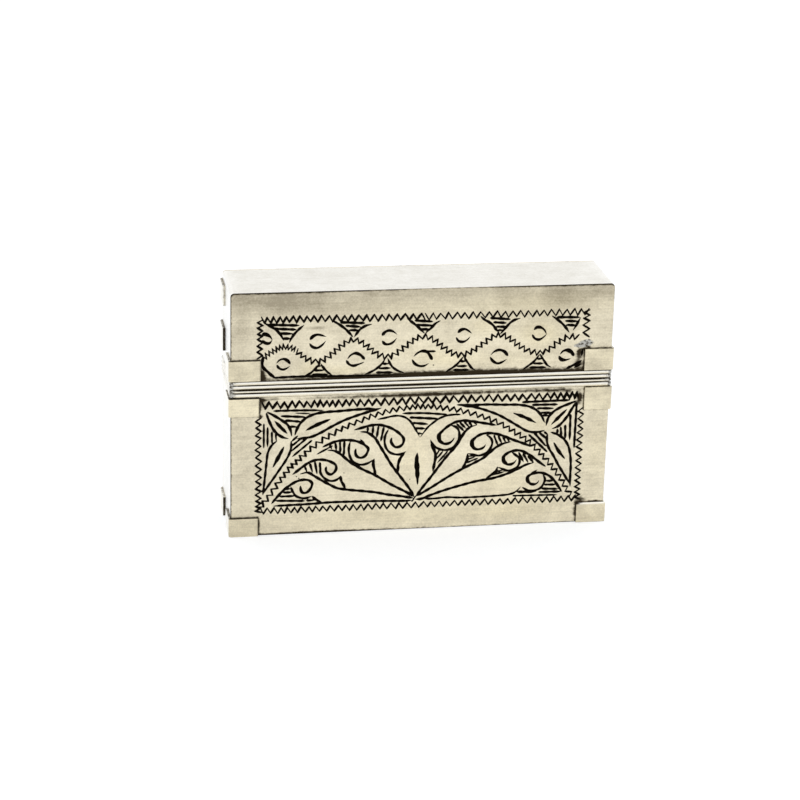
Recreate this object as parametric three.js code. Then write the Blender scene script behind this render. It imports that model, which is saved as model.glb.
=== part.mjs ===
// Slip-lid cigarette case of thin sheet metal, standing on its long narrow side.
// Millimetres, +Z up. The origin is the middle of the underside, and the engraved front faces -Y.
import * as THREE from "three";

// Outside of the closed case, without the trim that stands proud of it.
const WIDTH = 92;
const DEPTH = 19.8;
const HEIGHT = 61.1;
const PARTING_HEIGHT = 37.4; // where the rims of lid and base meet
const SEAT_GAP = 0.06; // hairline between the two rims when the lid is home

// Sheet and fits. Lid and base are flush outside, so the lid's thinner sheet leaves the slip fit inside.
const BASE_SHEET = 0.75;
const SLIP_FIT = 0.15; // clearance between collar and lid on every side
const LID_SHEET = BASE_SHEET - SLIP_FIT;
const BEND_RADIUS = 0.9; // outside of the bends where the ends meet the top and the bottom

// Collar that stands up out of the base and holds the lid.
const COLLAR_SHEET = 0.5;
const COLLAR_RISE = 10.5; // above the base's rim
const COLLAR_GRIP = 12; // soldered inside the base
const COLLAR_BEND = 0.7; // outside radius of its four corners

// Half-round reeds that edge both rims, two on the lid and two on the base, mitred at the corners.
const LID_REED = 1.03; // height of either reed of the lid
const BASE_UPPER_REED = 0.78;
const BASE_LOWER_REED = 1.22;
const REED_PROUD = 0.3;
const REED_STEPS = 8;

const CURVE_STEPS = 6;
const BASE_LEG = PARTING_HEIGHT - SEAT_GAP / 2;
const LID_LEG = HEIGHT - PARTING_HEIGHT - SEAT_GAP / 2;
const FRONT = -1;
const BACK = 1;
const LEFT = -1;
const RIGHT = 1;
const FRONT_LEFT = { edge: "front_left", across: LEFT, along: FRONT };
const FRONT_RIGHT = { edge: "front_right", across: RIGHT, along: FRONT };
const BACK_LEFT = { edge: "back_left", across: LEFT, along: BACK };
const BACK_RIGHT = { edge: "back_right", across: RIGHT, along: BACK };

// Square clips bent round the upright edges. Each is cut by hand, so each row has its own
// bottom, top and length along the broad face.
const CLIP_SHEET = 0.55;
const CLIP_END_LEG = 6.5; // along the ends
const CLIP_BEND_STEPS = 5;
const LID_CLIPS = [
  ["lid_rim_clip", FRONT_LEFT, 39.6, 44.7, 6.9],
  ["lid_rim_clip", FRONT_RIGHT, 39.6, 45.1, 6.7],
  ["lid_lower_clip", BACK_LEFT, 42.8, 48.5, 6.8],
  ["lid_lower_clip", BACK_RIGHT, 42.8, 48.5, 6.8],
  ["lid_upper_clip", BACK_LEFT, 54.1, 59, 6.8],
  ["lid_upper_clip", BACK_RIGHT, 54.1, 59, 6.8],
];
const BASE_CLIPS = [
  ["base_rim_clip", FRONT_LEFT, 30.7, 35.3, 6.6],
  ["base_rim_clip", FRONT_RIGHT, 29.5, 35.3, 6.3],
  ["base_foot_clip", FRONT_LEFT, 0, 4.75, 6.4],
  ["base_foot_clip", FRONT_RIGHT, 0, 5.1, 6.9],
  ["base_foot_clip", BACK_LEFT, 0, 4.9, 6.8],
  ["base_foot_clip", BACK_RIGHT, 0, 4.9, 6.8],
];

const sheetMetal = new THREE.MeshStandardMaterial({ color: 0xd8cfb4, roughness: 0.38, metalness: 1 });
const innerMetal = new THREE.MeshStandardMaterial({ color: 0xc3b899, roughness: 0.45, metalness: 1 });
const reedMetal = new THREE.MeshStandardMaterial({ color: 0xe6ddc4, roughness: 0.28, metalness: 1 });
const clipMetal = new THREE.MeshStandardMaterial({ color: 0xd6cbac, roughness: 0.36, metalness: 1 });

const lid = new THREE.Group();
const base = new THREE.Group();

function addPiece(group, name, geometry, material) {
  const piece = new THREE.Mesh(geometry, material);
  piece.name = name;
  group.add(piece);
  return piece;
}

// A flat outline given thickness straight up.
function raise(shape, height) {
  return new THREE.ExtrudeGeometry(shape, {
    depth: height,
    bevelEnabled: false,
    curveSegments: CURVE_STEPS,
  });
}

// An outline drawn across and up, given thickness towards the back, starting at the plane y = 0.
function carryBack(shape, thickness) {
  return raise(shape, thickness).rotateX(Math.PI / 2).translate(0, thickness, 0);
}

// One half of the case seen from the front, open side up: down one end, along the closed side and up
// the other end, set in from the outside by the inset.
function halfOutline(leg, inset) {
  const side = WIDTH / 2 - inset;
  const turn = WIDTH / 2 - BEND_RADIUS;
  const radius = BEND_RADIUS - inset;
  const shape = new THREE.Shape();
  shape.moveTo(-side, leg);
  shape.lineTo(-side, BEND_RADIUS);
  shape.absarc(-turn, BEND_RADIUS, radius, Math.PI, 1.5 * Math.PI);
  shape.absarc(turn, BEND_RADIUS, radius, 1.5 * Math.PI, 2 * Math.PI);
  shape.lineTo(side, leg);
  return shape;
}

// One strip bent into a U: an end, the long closed side at the bottom, and the other end. It stands
// between the two broad plates.
function bentBand(leg, sheet) {
  const shape = halfOutline(leg, 0);
  const inside = halfOutline(leg, sheet).getPoints(CURVE_STEPS).reverse();
  inside.forEach((point) => shape.lineTo(point.x, point.y));
  shape.closePath();
  return carryBack(shape, DEPTH - 2 * sheet).translate(0, sheet - DEPTH / 2, 0);
}

// The broad plate that laps over the band's edge and closes one side of it.
function broadPlate(leg, sheet, facing) {
  const shape = halfOutline(leg, 0);
  shape.closePath();
  const frontPlane = facing === FRONT ? -DEPTH / 2 : DEPTH / 2 - sheet;
  return carryBack(shape, sheet).translate(0, frontPlane, 0);
}

// Traces a rectangle with rounded corners, centred on the origin.
function roundedRectangle(outline, halfWidth, halfDepth, radius) {
  const x = halfWidth - radius;
  const y = halfDepth - radius;
  outline.moveTo(halfWidth, -y);
  outline.absarc(x, y, radius, 0, 0.5 * Math.PI);
  outline.absarc(-x, y, radius, 0.5 * Math.PI, Math.PI);
  outline.absarc(-x, -y, radius, Math.PI, 1.5 * Math.PI);
  outline.absarc(x, -y, radius, 1.5 * Math.PI, 2 * Math.PI);
  return outline;
}

// The inner sleeve, one strip bent round the inside of the base and standing up above its rim.
function slipCollar() {
  const halfWidth = WIDTH / 2 - BASE_SHEET;
  const halfDepth = DEPTH / 2 - BASE_SHEET;
  const shape = roundedRectangle(new THREE.Shape(), halfWidth, halfDepth, COLLAR_BEND);
  const well = roundedRectangle(
    new THREE.Path(),
    halfWidth - COLLAR_SHEET,
    halfDepth - COLLAR_SHEET,
    COLLAR_BEND - COLLAR_SHEET,
  );
  shape.holes.push(well);
  return raise(shape, COLLAR_GRIP + COLLAR_RISE);
}

// A half-round wire run round the rim: every point of its section becomes a mitred rectangle.
function mitredReed(height) {
  const section = new THREE.EllipseCurve(
    0,
    height / 2,
    REED_PROUD,
    height / 2,
    -Math.PI / 2,
    Math.PI / 2,
  ).getPoints(REED_STEPS);
  const corners = [
    [LEFT, FRONT],
    [RIGHT, FRONT],
    [RIGHT, BACK],
    [LEFT, BACK],
  ];
  const positions = [];
  const triangles = [];
  const rings = section.length;
  const turns = corners.length;
  section.forEach((point, ring) => {
    const next = (ring + 1) % rings;
    corners.forEach(([across, along], turn) => {
      positions.push(across * (WIDTH / 2 + point.x), along * (DEPTH / 2 + point.x), point.y);
      const here = ring * turns + turn;
      const ahead = ring * turns + ((turn + 1) % turns);
      const above = next * turns + turn;
      const aboveAhead = next * turns + ((turn + 1) % turns);
      triangles.push(here, ahead, aboveAhead, here, aboveAhead, above);
    });
  });
  const geometry = new THREE.BufferGeometry();
  geometry.setAttribute("position", new THREE.Float32BufferAttribute(positions, 3));
  geometry.setIndex(triangles);
  return geometry;
}

// A clip of square-cut sheet bent round one upright edge. In its outline the first number runs inwards
// along the broad face, the second inwards along the end, and both are negative outside the case.
function cornerClip({ across, along }, leg, height) {
  const bend = Array.from({ length: CLIP_BEND_STEPS + 1 }, (_, step) => {
    const angle = (step / CLIP_BEND_STEPS) * (Math.PI / 2);
    return [-CLIP_SHEET * Math.cos(angle), -CLIP_SHEET * Math.sin(angle)];
  });
  const outline = [
    [leg, 0],
    [0, 0],
    [0, CLIP_END_LEG],
    [-CLIP_SHEET, CLIP_END_LEG],
    ...bend,
    [leg, -CLIP_SHEET],
  ];
  const points = outline.map(
    ([inAcross, inAlong]) =>
      new THREE.Vector2(across * (WIDTH / 2 - inAcross), along * (DEPTH / 2 - inAlong)),
  );
  return raise(new THREE.Shape(points), height);
}

function addClips(group, clips) {
  for (const [kind, corner, bottom, top, leg] of clips) {
    const geometry = cornerClip(corner, leg, top - bottom);
    addPiece(group, `${kind}_${corner.edge}`, geometry, clipMetal).position.z = bottom;
  }
}

function addReed(group, name, bottom, height) {
  addPiece(group, name, mitredReed(height), reedMetal).position.z = bottom;
}

// Base: bent band, two broad plates, collar and trim.
addPiece(base, "base_band", bentBand(BASE_LEG, BASE_SHEET), sheetMetal);
addPiece(base, "base_front_plate", broadPlate(BASE_LEG, BASE_SHEET, FRONT), sheetMetal);
addPiece(base, "base_back_plate", broadPlate(BASE_LEG, BASE_SHEET, BACK), sheetMetal);
addPiece(base, "slip_collar", slipCollar(), innerMetal).position.z = BASE_LEG - COLLAR_GRIP;
addReed(base, "base_lower_reed", BASE_LEG - BASE_UPPER_REED - BASE_LOWER_REED, BASE_LOWER_REED);
addReed(base, "base_upper_reed", BASE_LEG - BASE_UPPER_REED, BASE_UPPER_REED);
addClips(base, BASE_CLIPS);

// Lid: the band and plates are shaped as the base's are and turned over, open side down.
const lidShell = new THREE.Group();
lidShell.rotation.y = Math.PI;
lidShell.position.z = HEIGHT;
addPiece(lidShell, "lid_band", bentBand(LID_LEG, LID_SHEET), sheetMetal);
addPiece(lidShell, "lid_front_plate", broadPlate(LID_LEG, LID_SHEET, FRONT), sheetMetal);
addPiece(lidShell, "lid_back_plate", broadPlate(LID_LEG, LID_SHEET, BACK), sheetMetal);
lid.add(lidShell);
addReed(lid, "lid_lower_reed", HEIGHT - LID_LEG, LID_REED);
addReed(lid, "lid_upper_reed", HEIGHT - LID_LEG + LID_REED, LID_REED);
addClips(lid, LID_CLIPS);

const cigaretteCase = new THREE.Group();
cigaretteCase.name = "cigarette_case";
cigaretteCase.add(base, lid);

export default cigaretteCase;
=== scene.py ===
"""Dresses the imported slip-lid cigarette case as aged, hand-engraved silver-coloured sheet.

Laid out as an add-on and run as a script. Shapes are worked out in millimetres with numpy, in the
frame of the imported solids, and go into the meshes in metres.
"""

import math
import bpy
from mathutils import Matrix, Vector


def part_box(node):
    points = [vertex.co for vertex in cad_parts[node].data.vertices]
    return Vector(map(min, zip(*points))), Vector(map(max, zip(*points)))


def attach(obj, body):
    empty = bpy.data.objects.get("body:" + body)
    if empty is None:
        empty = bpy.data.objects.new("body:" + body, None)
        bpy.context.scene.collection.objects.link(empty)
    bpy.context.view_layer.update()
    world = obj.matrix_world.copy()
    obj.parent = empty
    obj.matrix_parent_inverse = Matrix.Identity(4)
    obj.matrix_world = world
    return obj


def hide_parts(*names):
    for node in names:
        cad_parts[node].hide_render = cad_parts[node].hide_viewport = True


bl_info = {
    "name": "Engraved cigarette case",
    "version": (1, 0, 0),
    "blender": (4, 5, 0),
    "location": "View3D > Sidebar > Case",
    "description": "Builds the dressed pieces of a slip-lid cigarette case on its packed solids",
    "category": "Object",
}

import bpy
import numpy as np
from bpy.props import FloatProperty, FloatVectorProperty, PointerProperty
from bpy.types import Operator, Panel, PropertyGroup
from mathutils import Matrix, Vector

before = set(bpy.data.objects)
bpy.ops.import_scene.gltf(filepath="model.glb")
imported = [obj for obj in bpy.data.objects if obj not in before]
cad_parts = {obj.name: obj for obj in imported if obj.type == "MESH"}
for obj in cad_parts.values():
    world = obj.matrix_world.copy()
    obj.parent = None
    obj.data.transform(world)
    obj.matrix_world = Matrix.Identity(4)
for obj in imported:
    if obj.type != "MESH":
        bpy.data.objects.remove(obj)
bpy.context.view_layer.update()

MM = 0.001
FACES = {"front": -1, "back": 1}
SIDES = {"left": -1, "right": 1}

# Sizes and places from here on are in millimetres.
BEND = 0.9  # outside radius of the bends between the ends and the top or bottom
COLLAR_SHEET, COLLAR_BEND = 0.5, 0.7  # the collar's thickness and the outside radius of its corners
COLLAR_EDGE, COLLAR_INNER_EDGE = 0.18, 0.12  # rounding of the collar's edges, outside and inside
BAND_INNER_EDGE = 0.04
CLIP_BEND = 0.1  # inside radius of a clip's bend
# Each reed with the reach of the black, grime with painted shade, along its lower and its upper edge.
REEDS = (
    ("lid_upper_reed", 0.17, 0.12),
    ("lid_lower_reed", 0.27, 0.12),
    ("base_upper_reed", 0.15, 0.23),
    ("base_lower_reed", 0.1, 0.22),
)
# Each clip with the grime and painted shade on its upper, inner and lower cut edge, from 0 to 1,
# the rounding of its upper edge, which gets a painted glint where it is round, and how much duller
# it is than the rest.
CLIPS = (
    ("lid_rim_clip_front_left", 0.85, 0.9, 0.0, 0.12, -0.08),
    ("lid_rim_clip_front_right", 0.7, 0.5, 0.75, 0.12, 0.04),
    ("lid_lower_clip_back_left", 0.55, 0.85, 0.8, 0.12, 0.0),
    ("lid_lower_clip_back_right", 0.8, 0.8, 0.8, 0.12, 0.0),
    ("lid_upper_clip_back_left", 0.55, 0.4, 0.8, 0.12, 0.0),
    ("lid_upper_clip_back_right", 0.8, 0.8, 0.8, 0.12, 0.0),
    ("base_rim_clip_front_left", 1.0, 0.95, 0.5, 0.12, -0.22),
    ("base_rim_clip_front_right", 0.35, 0.35, 0.45, 0.12, -0.02),
    ("base_foot_clip_front_left", 1.0, 0.95, 0.5, 0.14, -0.02),
    ("base_foot_clip_front_right", 0.0, 0.5, 0.75, 0.45, -0.02),
    ("base_foot_clip_back_left", 0.45, 0.8, 0.5, 0.12, 0.0),
    ("base_foot_clip_back_right", 0.8, 0.8, 0.5, 0.12, 0.0),
)


def box_mm(node):
    """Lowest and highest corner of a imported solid, in millimetres."""
    low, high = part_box(node)
    return np.array(low) / MM, np.array(high) / MM


# Where the outer faces of the ends and of the broad plates stand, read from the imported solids.
HALF_WIDTH = box_mm("base_band")[1][0]
HALF_DEPTH = box_mm("base_back_plate")[1][1]


# Lines and sections.

ARC_STEPS = 5
SUPPORT = 0.06  # how close to an arc the points at the ends of a straight run lie
REED_POINTS = 33
BLACK_FADE = 0.07  # over which the black along a reed thins out


def unit(angle):
    """The direction at an angle, as x and y."""
    return np.stack([np.cos(angle), np.sin(angle)], axis=-1)


def right_of(angle):
    """The direction to the right of someone who walks at an angle."""
    return np.stack([np.sin(angle), -np.cos(angle)], axis=-1)


def rectangle(half_width, half_depth):
    """The corners of a rectangle round the origin, anticlockwise."""
    x, y = half_width, half_depth
    return [(-x, -y), (x, -y), (x, y), (-x, y)]


def run_places(length, spacing, support):
    """Places of the points inside a straight run: one close to either end, the rest evenly between."""
    inner = length - 2 * support
    if inner < support:
        return np.array([length / 2])
    count = max(1, round(inner / spacing))
    return support + inner * np.arange(count + 1) / count


def rounded_line(corners, radii, closed, spacing, support=SUPPORT):
    """Straight runs between corners, with every corner turned into an arc of its radius.

    Returns the points, their right-hand normals, and the number of the corner whose arc each point
    lies on, or -1 on a straight run.
    """
    corners, radii = np.asarray(corners, float), np.asarray(radii, float)
    ahead = np.roll(corners, -1, axis=0) - corners
    length = np.hypot(ahead[:, 0], ahead[:, 1])
    heading = np.arctan2(ahead[:, 1], ahead[:, 0])
    turn = (heading - np.roll(heading, 1) + np.pi) % (2 * np.pi) - np.pi
    if not closed:
        turn[[0, -1]] = 0
        heading[-1] = heading[-2]
    setback = radii * np.tan(np.abs(turn) / 2)
    spots, angles, marks = [], [], []
    last = len(corners) - 1
    for k, corner in enumerate(corners):
        bends = abs(turn[k]) > 1e-6 and radii[k] > 0
        angle = heading[k] - turn[k] * (np.linspace(1, 0, ARC_STEPS + 1) if bends else np.array([0.5]))
        right = right_of(angle)
        side = np.sign(turn[k]) * radii[k] if bends else 0.0
        entry = corner - setback[k] * unit(heading[k] - turn[k])
        centre = (entry if bends else corner) - side * right[0]
        spots.append(centre + side * right)
        angles.append(angle)
        marks.append(np.full(len(angle), k))
        if k == last and not closed:
            break
        run = length[k] - setback[k] - setback[(k + 1) % len(corners)]
        places = run_places(run, spacing, support)
        spots.append(corner + np.outer(setback[k] + places, unit(heading[k])))
        angles.append(np.full(len(places), heading[k]))
        marks.append(np.full(len(places), -1))
    return np.concatenate(spots), right_of(np.concatenate(angles)), np.concatenate(marks)


def away_from_middle(path, normals):
    """Normals of a path, all turned over where they point towards the middle."""
    return normals if np.sum(path * normals) > 0 else -normals


def near_edge(distance):
    """1 along a cut edge of the sheet, gone about a sixth of a millimetre from it."""
    return np.clip(1.3 - distance / 0.12, 0, 1)


def strip_section(thickness, breadth, outer_rounds, inner_round, spacing, support=SUPPORT):
    """Section of a strip of sheet: u runs outwards from its inner face, v across its breadth.

    Its outer arcs are worn bright, and grime gathers on the inner ones.
    """
    half = breadth / 2
    corners = [(0, -half), (thickness, -half), (thickness, half), (0, half)]
    radii = [inner_round, *outer_rounds, inner_round]
    points, normals, corner = rounded_line(corners, radii, True, spacing, support)
    worn_and_sheen = np.isin(corner, (1, 2)).astype(float)
    inner = np.clip(1 - points[:, 0] / (0.5 * thickness), 0, 1)
    grimy = np.where(np.abs(points[:, 1]) > half - 0.5 * thickness, inner, 0)
    return {"points": points, "normals": normals, "wear_and_sheen": worn_and_sheen, "grime": grimy}


def reed_section(proud, height, black_below, black_above):
    """Section of a half-round wire laid against the wall, full on its crest: u = proud (1 - |v|^3)^0.7.

    Black lies along its lower and its upper edge as far as given, grime with painted shade, and its
    upper half and crest carry a painted highlight.
    """
    v = np.sin(np.linspace(-np.pi / 2, np.pi / 2, REED_POINTS))
    from_below, from_above = (1 + v) * height / 2, (1 - v) * height / 2
    black = np.maximum(black_below - from_below, black_above - from_above)
    return {
        "points": np.column_stack([proud * np.clip(1 - np.abs(v) ** 3, 0, 1) ** 0.7, v * height / 2]),
        "normals": np.column_stack([np.sqrt(1 - v**2), v]),
        "wear_and_sheen": np.clip(0.45 + 1.3 * v, 0, 1),
        "grime": np.clip(1 + black / BLACK_FADE, 0, 1),
    }


ACROSS_AND_UP = ((0, 2), 1)  # the path lies in X and Z, and the section's breadth along Y
IN_PLAN = ((0, 1), 2)  # the path lies in X and Y, and the section's breadth along Z


def carry(section, path, normals, plane, closed, end_round=0.0, rise=0.0):
    """A section carried along a path: point = path + u * normal, lifted by v across the path's plane.

    The ends of an open path are rounded: over a quarter turn the section shrinks by
    r (1 - cos a) while it moves on by r sin a.
    """
    stations = np.arange(len(path))
    spots, insets = path, np.zeros(len(path))
    if not closed and end_round:
        a = np.linspace(np.pi / 2, 0, ARC_STEPS)
        forward = np.column_stack([-normals[:, 1], normals[:, 0]])
        start = path[0] + np.outer(end_round * (1 - np.sin(a)), forward[0])
        finish = path[-1] - np.outer(end_round * (1 - np.sin(a[::-1])), forward[-1])
        spots = np.concatenate([start, path[1:-1], finish])
        shrink = end_round * (1 - np.cos(a))
        insets = np.concatenate([shrink, np.zeros(len(path) - 2), shrink[::-1]])
        held_start, held_finish = np.zeros(len(a), int), np.full(len(a), stations[-1])
        stations = np.concatenate([held_start, stations[1:-1], held_finish])
    outline = section["points"] - insets[:, None, None] * section["normals"]
    plan_axes, rise_axis = plane
    points = np.empty(outline.shape[:2] + (3,))
    points[..., plan_axes] = spots[:, None] + outline[..., :1] * normals[stations][:, None]
    points[..., rise_axis] = outline[..., 1] + rise
    count, breadth = outline.shape[:2]
    quads = grid_quads(count, breadth, closed, True)
    ring = np.arange(breadth)
    caps = [] if closed else [ring, ring[::-1] + (count - 1) * breadth]
    marks = {name: np.tile(section[name], count) for name in ("wear_and_sheen", "grime")}
    marks["tarnish"] = np.zeros(count * breadth)
    return {"points": points.reshape(-1, 3), "quads": quads, "caps": caps, "marks": marks}


def grid_quads(rows, columns, rows_close, columns_close):
    """The quads of a grid of points numbered row by row, closed on itself either way as asked."""
    i = np.arange(rows if rows_close else rows - 1)[:, None]
    j = np.arange(columns if columns_close else columns - 1)[None]
    down, over = (i + 1) % rows, (j + 1) % columns
    ring = [i * columns + j, down * columns + j, down * columns + over, i * columns + over]
    return np.stack(ring, axis=-1).reshape(-1, 4)


# Hand work: the sheet isn't dead flat. Each wave has its turn for each millimetre along x, y and z, in
# radians, and the angle at which it starts.

BEATEN_WAVES = np.array(
    [
        (0.52, 0.21, 0.33, 0.4),
        (-0.33, 0.41, 0.47, 1.9),
        (0.18, -0.66, -0.61, 3.1),
        (0.93, 0.35, 0.40, 5.2),
        (-0.55, 0.80, 1.05, 2.6),
        (1.40, -0.90, -1.20, 0.9),
    ]
)


def beaten(points):
    """How far beaten sheet lies below its true face, from 0 to 1: a sum of crossing sine waves."""
    phase = points @ BEATEN_WAVES[:, :3].T + BEATEN_WAVES[:, 3]
    weight = 1 / np.linalg.norm(BEATEN_WAVES[:, :3], axis=1)
    return 0.5 + 0.5 * (np.sin(phase) @ weight) / weight.sum()


# Meshes.


def face_outwards(points, quads, caps):
    """Turns every face over if the shell's signed volume is negative."""
    fans = [np.column_stack([np.full(len(c) - 2, c[0]), c[1:-1], c[2:]]) for c in caps]
    triangles = np.concatenate([quads[:, :3], quads[:, [0, 2, 3]], *fans])
    a, b, c = (points[triangles[:, k]] for k in range(3))
    if np.einsum("ij,ij->", a, np.cross(b, c)) < 0:
        return quads[:, ::-1], [cap[::-1] for cap in caps]
    return quads, caps


def make_piece(name, shell, body, nodes, material):
    """Makes a shell a mesh that rides on a body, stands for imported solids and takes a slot's finish."""
    points = np.round(shell["points"], 6)
    quads, caps = face_outwards(points, shell["quads"], shell["caps"])
    corners = np.concatenate([quads.ravel(), *caps])
    sides = np.concatenate([np.full(len(quads), 4), [len(cap) for cap in caps]]).astype(int)
    mesh = bpy.data.meshes.new(name)
    mesh.vertices.add(len(points))
    mesh.vertices.foreach_set("co", (points * MM).astype(np.float32).ravel())
    mesh.loops.add(len(corners))
    mesh.loops.foreach_set("vertex_index", corners.astype(np.int32))
    mesh.polygons.add(len(sides))
    mesh.polygons.foreach_set("loop_start", np.concatenate([[0], np.cumsum(sides)[:-1]]))
    smooth = shell.get("smooth", np.ones(len(quads), bool))
    mesh.polygons.foreach_set("use_smooth", np.concatenate([smooth, np.zeros(len(caps), bool)]))
    mesh.update(calc_edges=True)
    if mesh.validate():
        raise RuntimeError(f"the mesh of {name} has faults")
    for mark, values in shell["marks"].items():
        attribute = mesh.attributes.new(mark, "FLOAT", "POINT")
        attribute.data.foreach_set("value", values.astype(np.float32))
    mesh.materials.append(material)
    piece = bpy.data.objects.new(name, mesh)
    bpy.context.scene.collection.objects.link(piece)
    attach(piece, body)
    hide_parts(*nodes)


# Engraving. A cut is an array of (x, z, half width) set close together along a stroke of the graver.

CUT_STEP = 0.06  # between the points of a stroke
FINEST = 0.06  # half width at which a stroke leaves the metal
PRESSURE = 0.13  # share by which the hand's pressure varies
PRESSURE_LENGTH = 2.3  # of one rise and fall of it
LINE_POINTS = 400  # along a straight line of teeth
# How far the hand strays in the spacing, the throw and the weight of the teeth.
UNEVEN_STEP, UNEVEN_THROW, UNEVEN_WEIGHT = 0.16, 0.14, 0.14
LIGHT_NICK, HEAVY_NICK = 0.84, 1.22  # weights of the two nicks of a tooth
NICK_ENDS = 0.62  # width at the ends of a nick, as a share of its middle's


def through(points):
    """A smooth line through given points: cubics whose slopes are the chords between neighbours.

    Returns points close together and their places along the line.
    """
    points = np.asarray(points, float)
    chord = np.linalg.norm(np.diff(points, axis=0), axis=1)
    at = np.concatenate([[0], np.cumsum(chord)])
    slope = np.gradient(points, at, axis=0)
    place = np.linspace(0, at[-1], max(4, int(at[-1] / CUT_STEP)))
    k = np.clip(np.searchsorted(at, place, side="right") - 1, 0, len(chord) - 1)
    t, h = ((place - at[k]) / chord[k])[:, None], chord[k][:, None]
    line = (
        (1 + 2 * t) * (1 - t) ** 2 * points[k]
        + t * (1 - t) ** 2 * h * slope[k]
        + t**2 * (3 - 2 * t) * points[k + 1]
        + t**2 * (t - 1) * h * slope[k + 1]
    )
    return line, place


def cut(width, *points, enter=0.8, leave=0.8):
    """One stroke of the graver, which swells over its entry and thins over its exit, in millimetres.

    The hand's pressure rises and falls along it in a slow wave.
    """
    line, place = through(points)
    swell = np.clip(np.minimum(place / enter, (place[-1] - place) / leave), 0, 1) ** 0.6
    press = 1 + PRESSURE * np.sin(2 * np.pi * place / PRESSURE_LENGTH + 3 * line[0, 0] + line[0, 1])
    half = np.maximum(0.5 * width * swell * press, FINEST)
    return np.column_stack([line, half])


def bars(width, *rows):
    """Short straight strokes that fill a corner, each given as x, z, x, z."""
    return [cut(width, (x0, z0), (x1, z1), enter=0.5, leave=0.9) for x0, z0, x1, z1 in rows]


def zigzag(line, pitches, reach, width, seed):
    """Teeth rocked along a line: a corner every half pitch, thrown to one side and the other in turn.

    The pitches are reached one after another at even steps along the line. The nicks between the
    corners are straight, heavy and light in turn, and fullest in the middle.
    """
    line = np.asarray(line, float)
    at = np.concatenate([[0], np.cumsum(np.linalg.norm(np.diff(line, axis=0), axis=1))])
    slope = np.gradient(line, at, axis=0)
    crowding = 2 / np.interp(at, np.linspace(0, at[-1], len(pitches)), pitches)
    turns = np.concatenate([[0], np.cumsum((crowding[1:] + crowding[:-1]) / 2 * np.diff(at))])
    count = int(round(turns[-1]))
    hand = np.random.default_rng(seed).uniform(-1, 1, (3, count + 1))
    place = np.interp((np.arange(count + 1) + UNEVEN_STEP * hand[0]) * turns[-1] / count, turns, at)
    spot = np.column_stack([np.interp(place, at, line[:, k]) for k in (0, 1)])
    lean = np.column_stack([np.interp(place, at, slope[:, k]) for k in (0, 1)])
    lean /= np.linalg.norm(lean, axis=1)[:, None]
    throw = reach * (1 + UNEVEN_THROW * hand[1]) * (-1.0) ** np.arange(count + 1)
    corner = spot + throw[:, None] * np.column_stack([-lean[:, 1], lean[:, 0]])
    t = np.linspace(0, 1, max(6, int(math.hypot(pitches[0] / 2, 2 * reach) / CUT_STEP)))
    nick = corner[:-1, None] * (1 - t)[:, None] + corner[1:, None] * t[:, None]
    weight = np.where(np.arange(count) % 2, HEAVY_NICK, LIGHT_NICK) + UNEVEN_WEIGHT * hand[2, :-1]
    half = 0.5 * width * weight[:, None] * (NICK_ENDS + (1 - NICK_ENDS) * np.sin(np.pi * t))
    return np.column_stack([nick.reshape(-1, 2), half.ravel()])


def straight(*points):
    """A line of straight runs with points close together, for teeth to follow."""
    points = np.asarray(points, float)
    at = np.concatenate([[0], np.cumsum(np.linalg.norm(np.diff(points, axis=0), axis=1))])
    place = np.linspace(0, at[-1], LINE_POINTS)
    return np.column_stack([np.interp(place, at, points[:, k]) for k in (0, 1)])


def eye(width, upper, lower):
    """An almond of two strokes that don't quite meet."""
    return [
        cut(width, *upper, enter=0.5, leave=2.6),
        cut(0.88 * width, *lower, enter=0.6, leave=2.2),
    ]


def leaf(width, slit_width, upper, lower, slit):
    """A pointed leaf: two edges, and the slit of its vein, widest in the middle."""
    return [
        cut(width, *upper, enter=1.2, leave=1.6),
        cut(width, *lower, enter=1.2, leave=1.6),
        cut(slit_width, *slit, enter=2.0, leave=2.0),
    ]


def hatched_triangle(width, left, right, rows):
    """Two curved sides that run to a point, filled with bars."""
    sides = [cut(width, *side, enter=1.4, leave=1.2) for side in (left, right)]
    return sides + bars(1.05 * width, *rows)


def petal(rib, crest, under, notch, rows, fill=(), hatch=0.62, crescent=None, weight=0.7):
    """One petal of the fan.

    The rib runs out from the hub, the crest comes back from the petal's tip and rolls into the
    volute, the curve under it ends in a notch, and bars fill the space behind the volute and the
    notch. A crescent thickens the volute where it turns.
    """
    return [
        cut(weight, *rib, enter=1.0, leave=2.4),
        cut(0.7, *crest, enter=1.2, leave=0.6 if crescent is None else 1.8),
        cut(0.62, *under, enter=0.9, leave=1.2),
        cut(0.74, *notch, enter=0.8, leave=1.2),
        *bars(hatch, *rows),
        *bars(0.5, *fill),
        *([] if crescent is None else [cut(1.0, *crescent, enter=1.3, leave=1.6)]),
    ]


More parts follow.
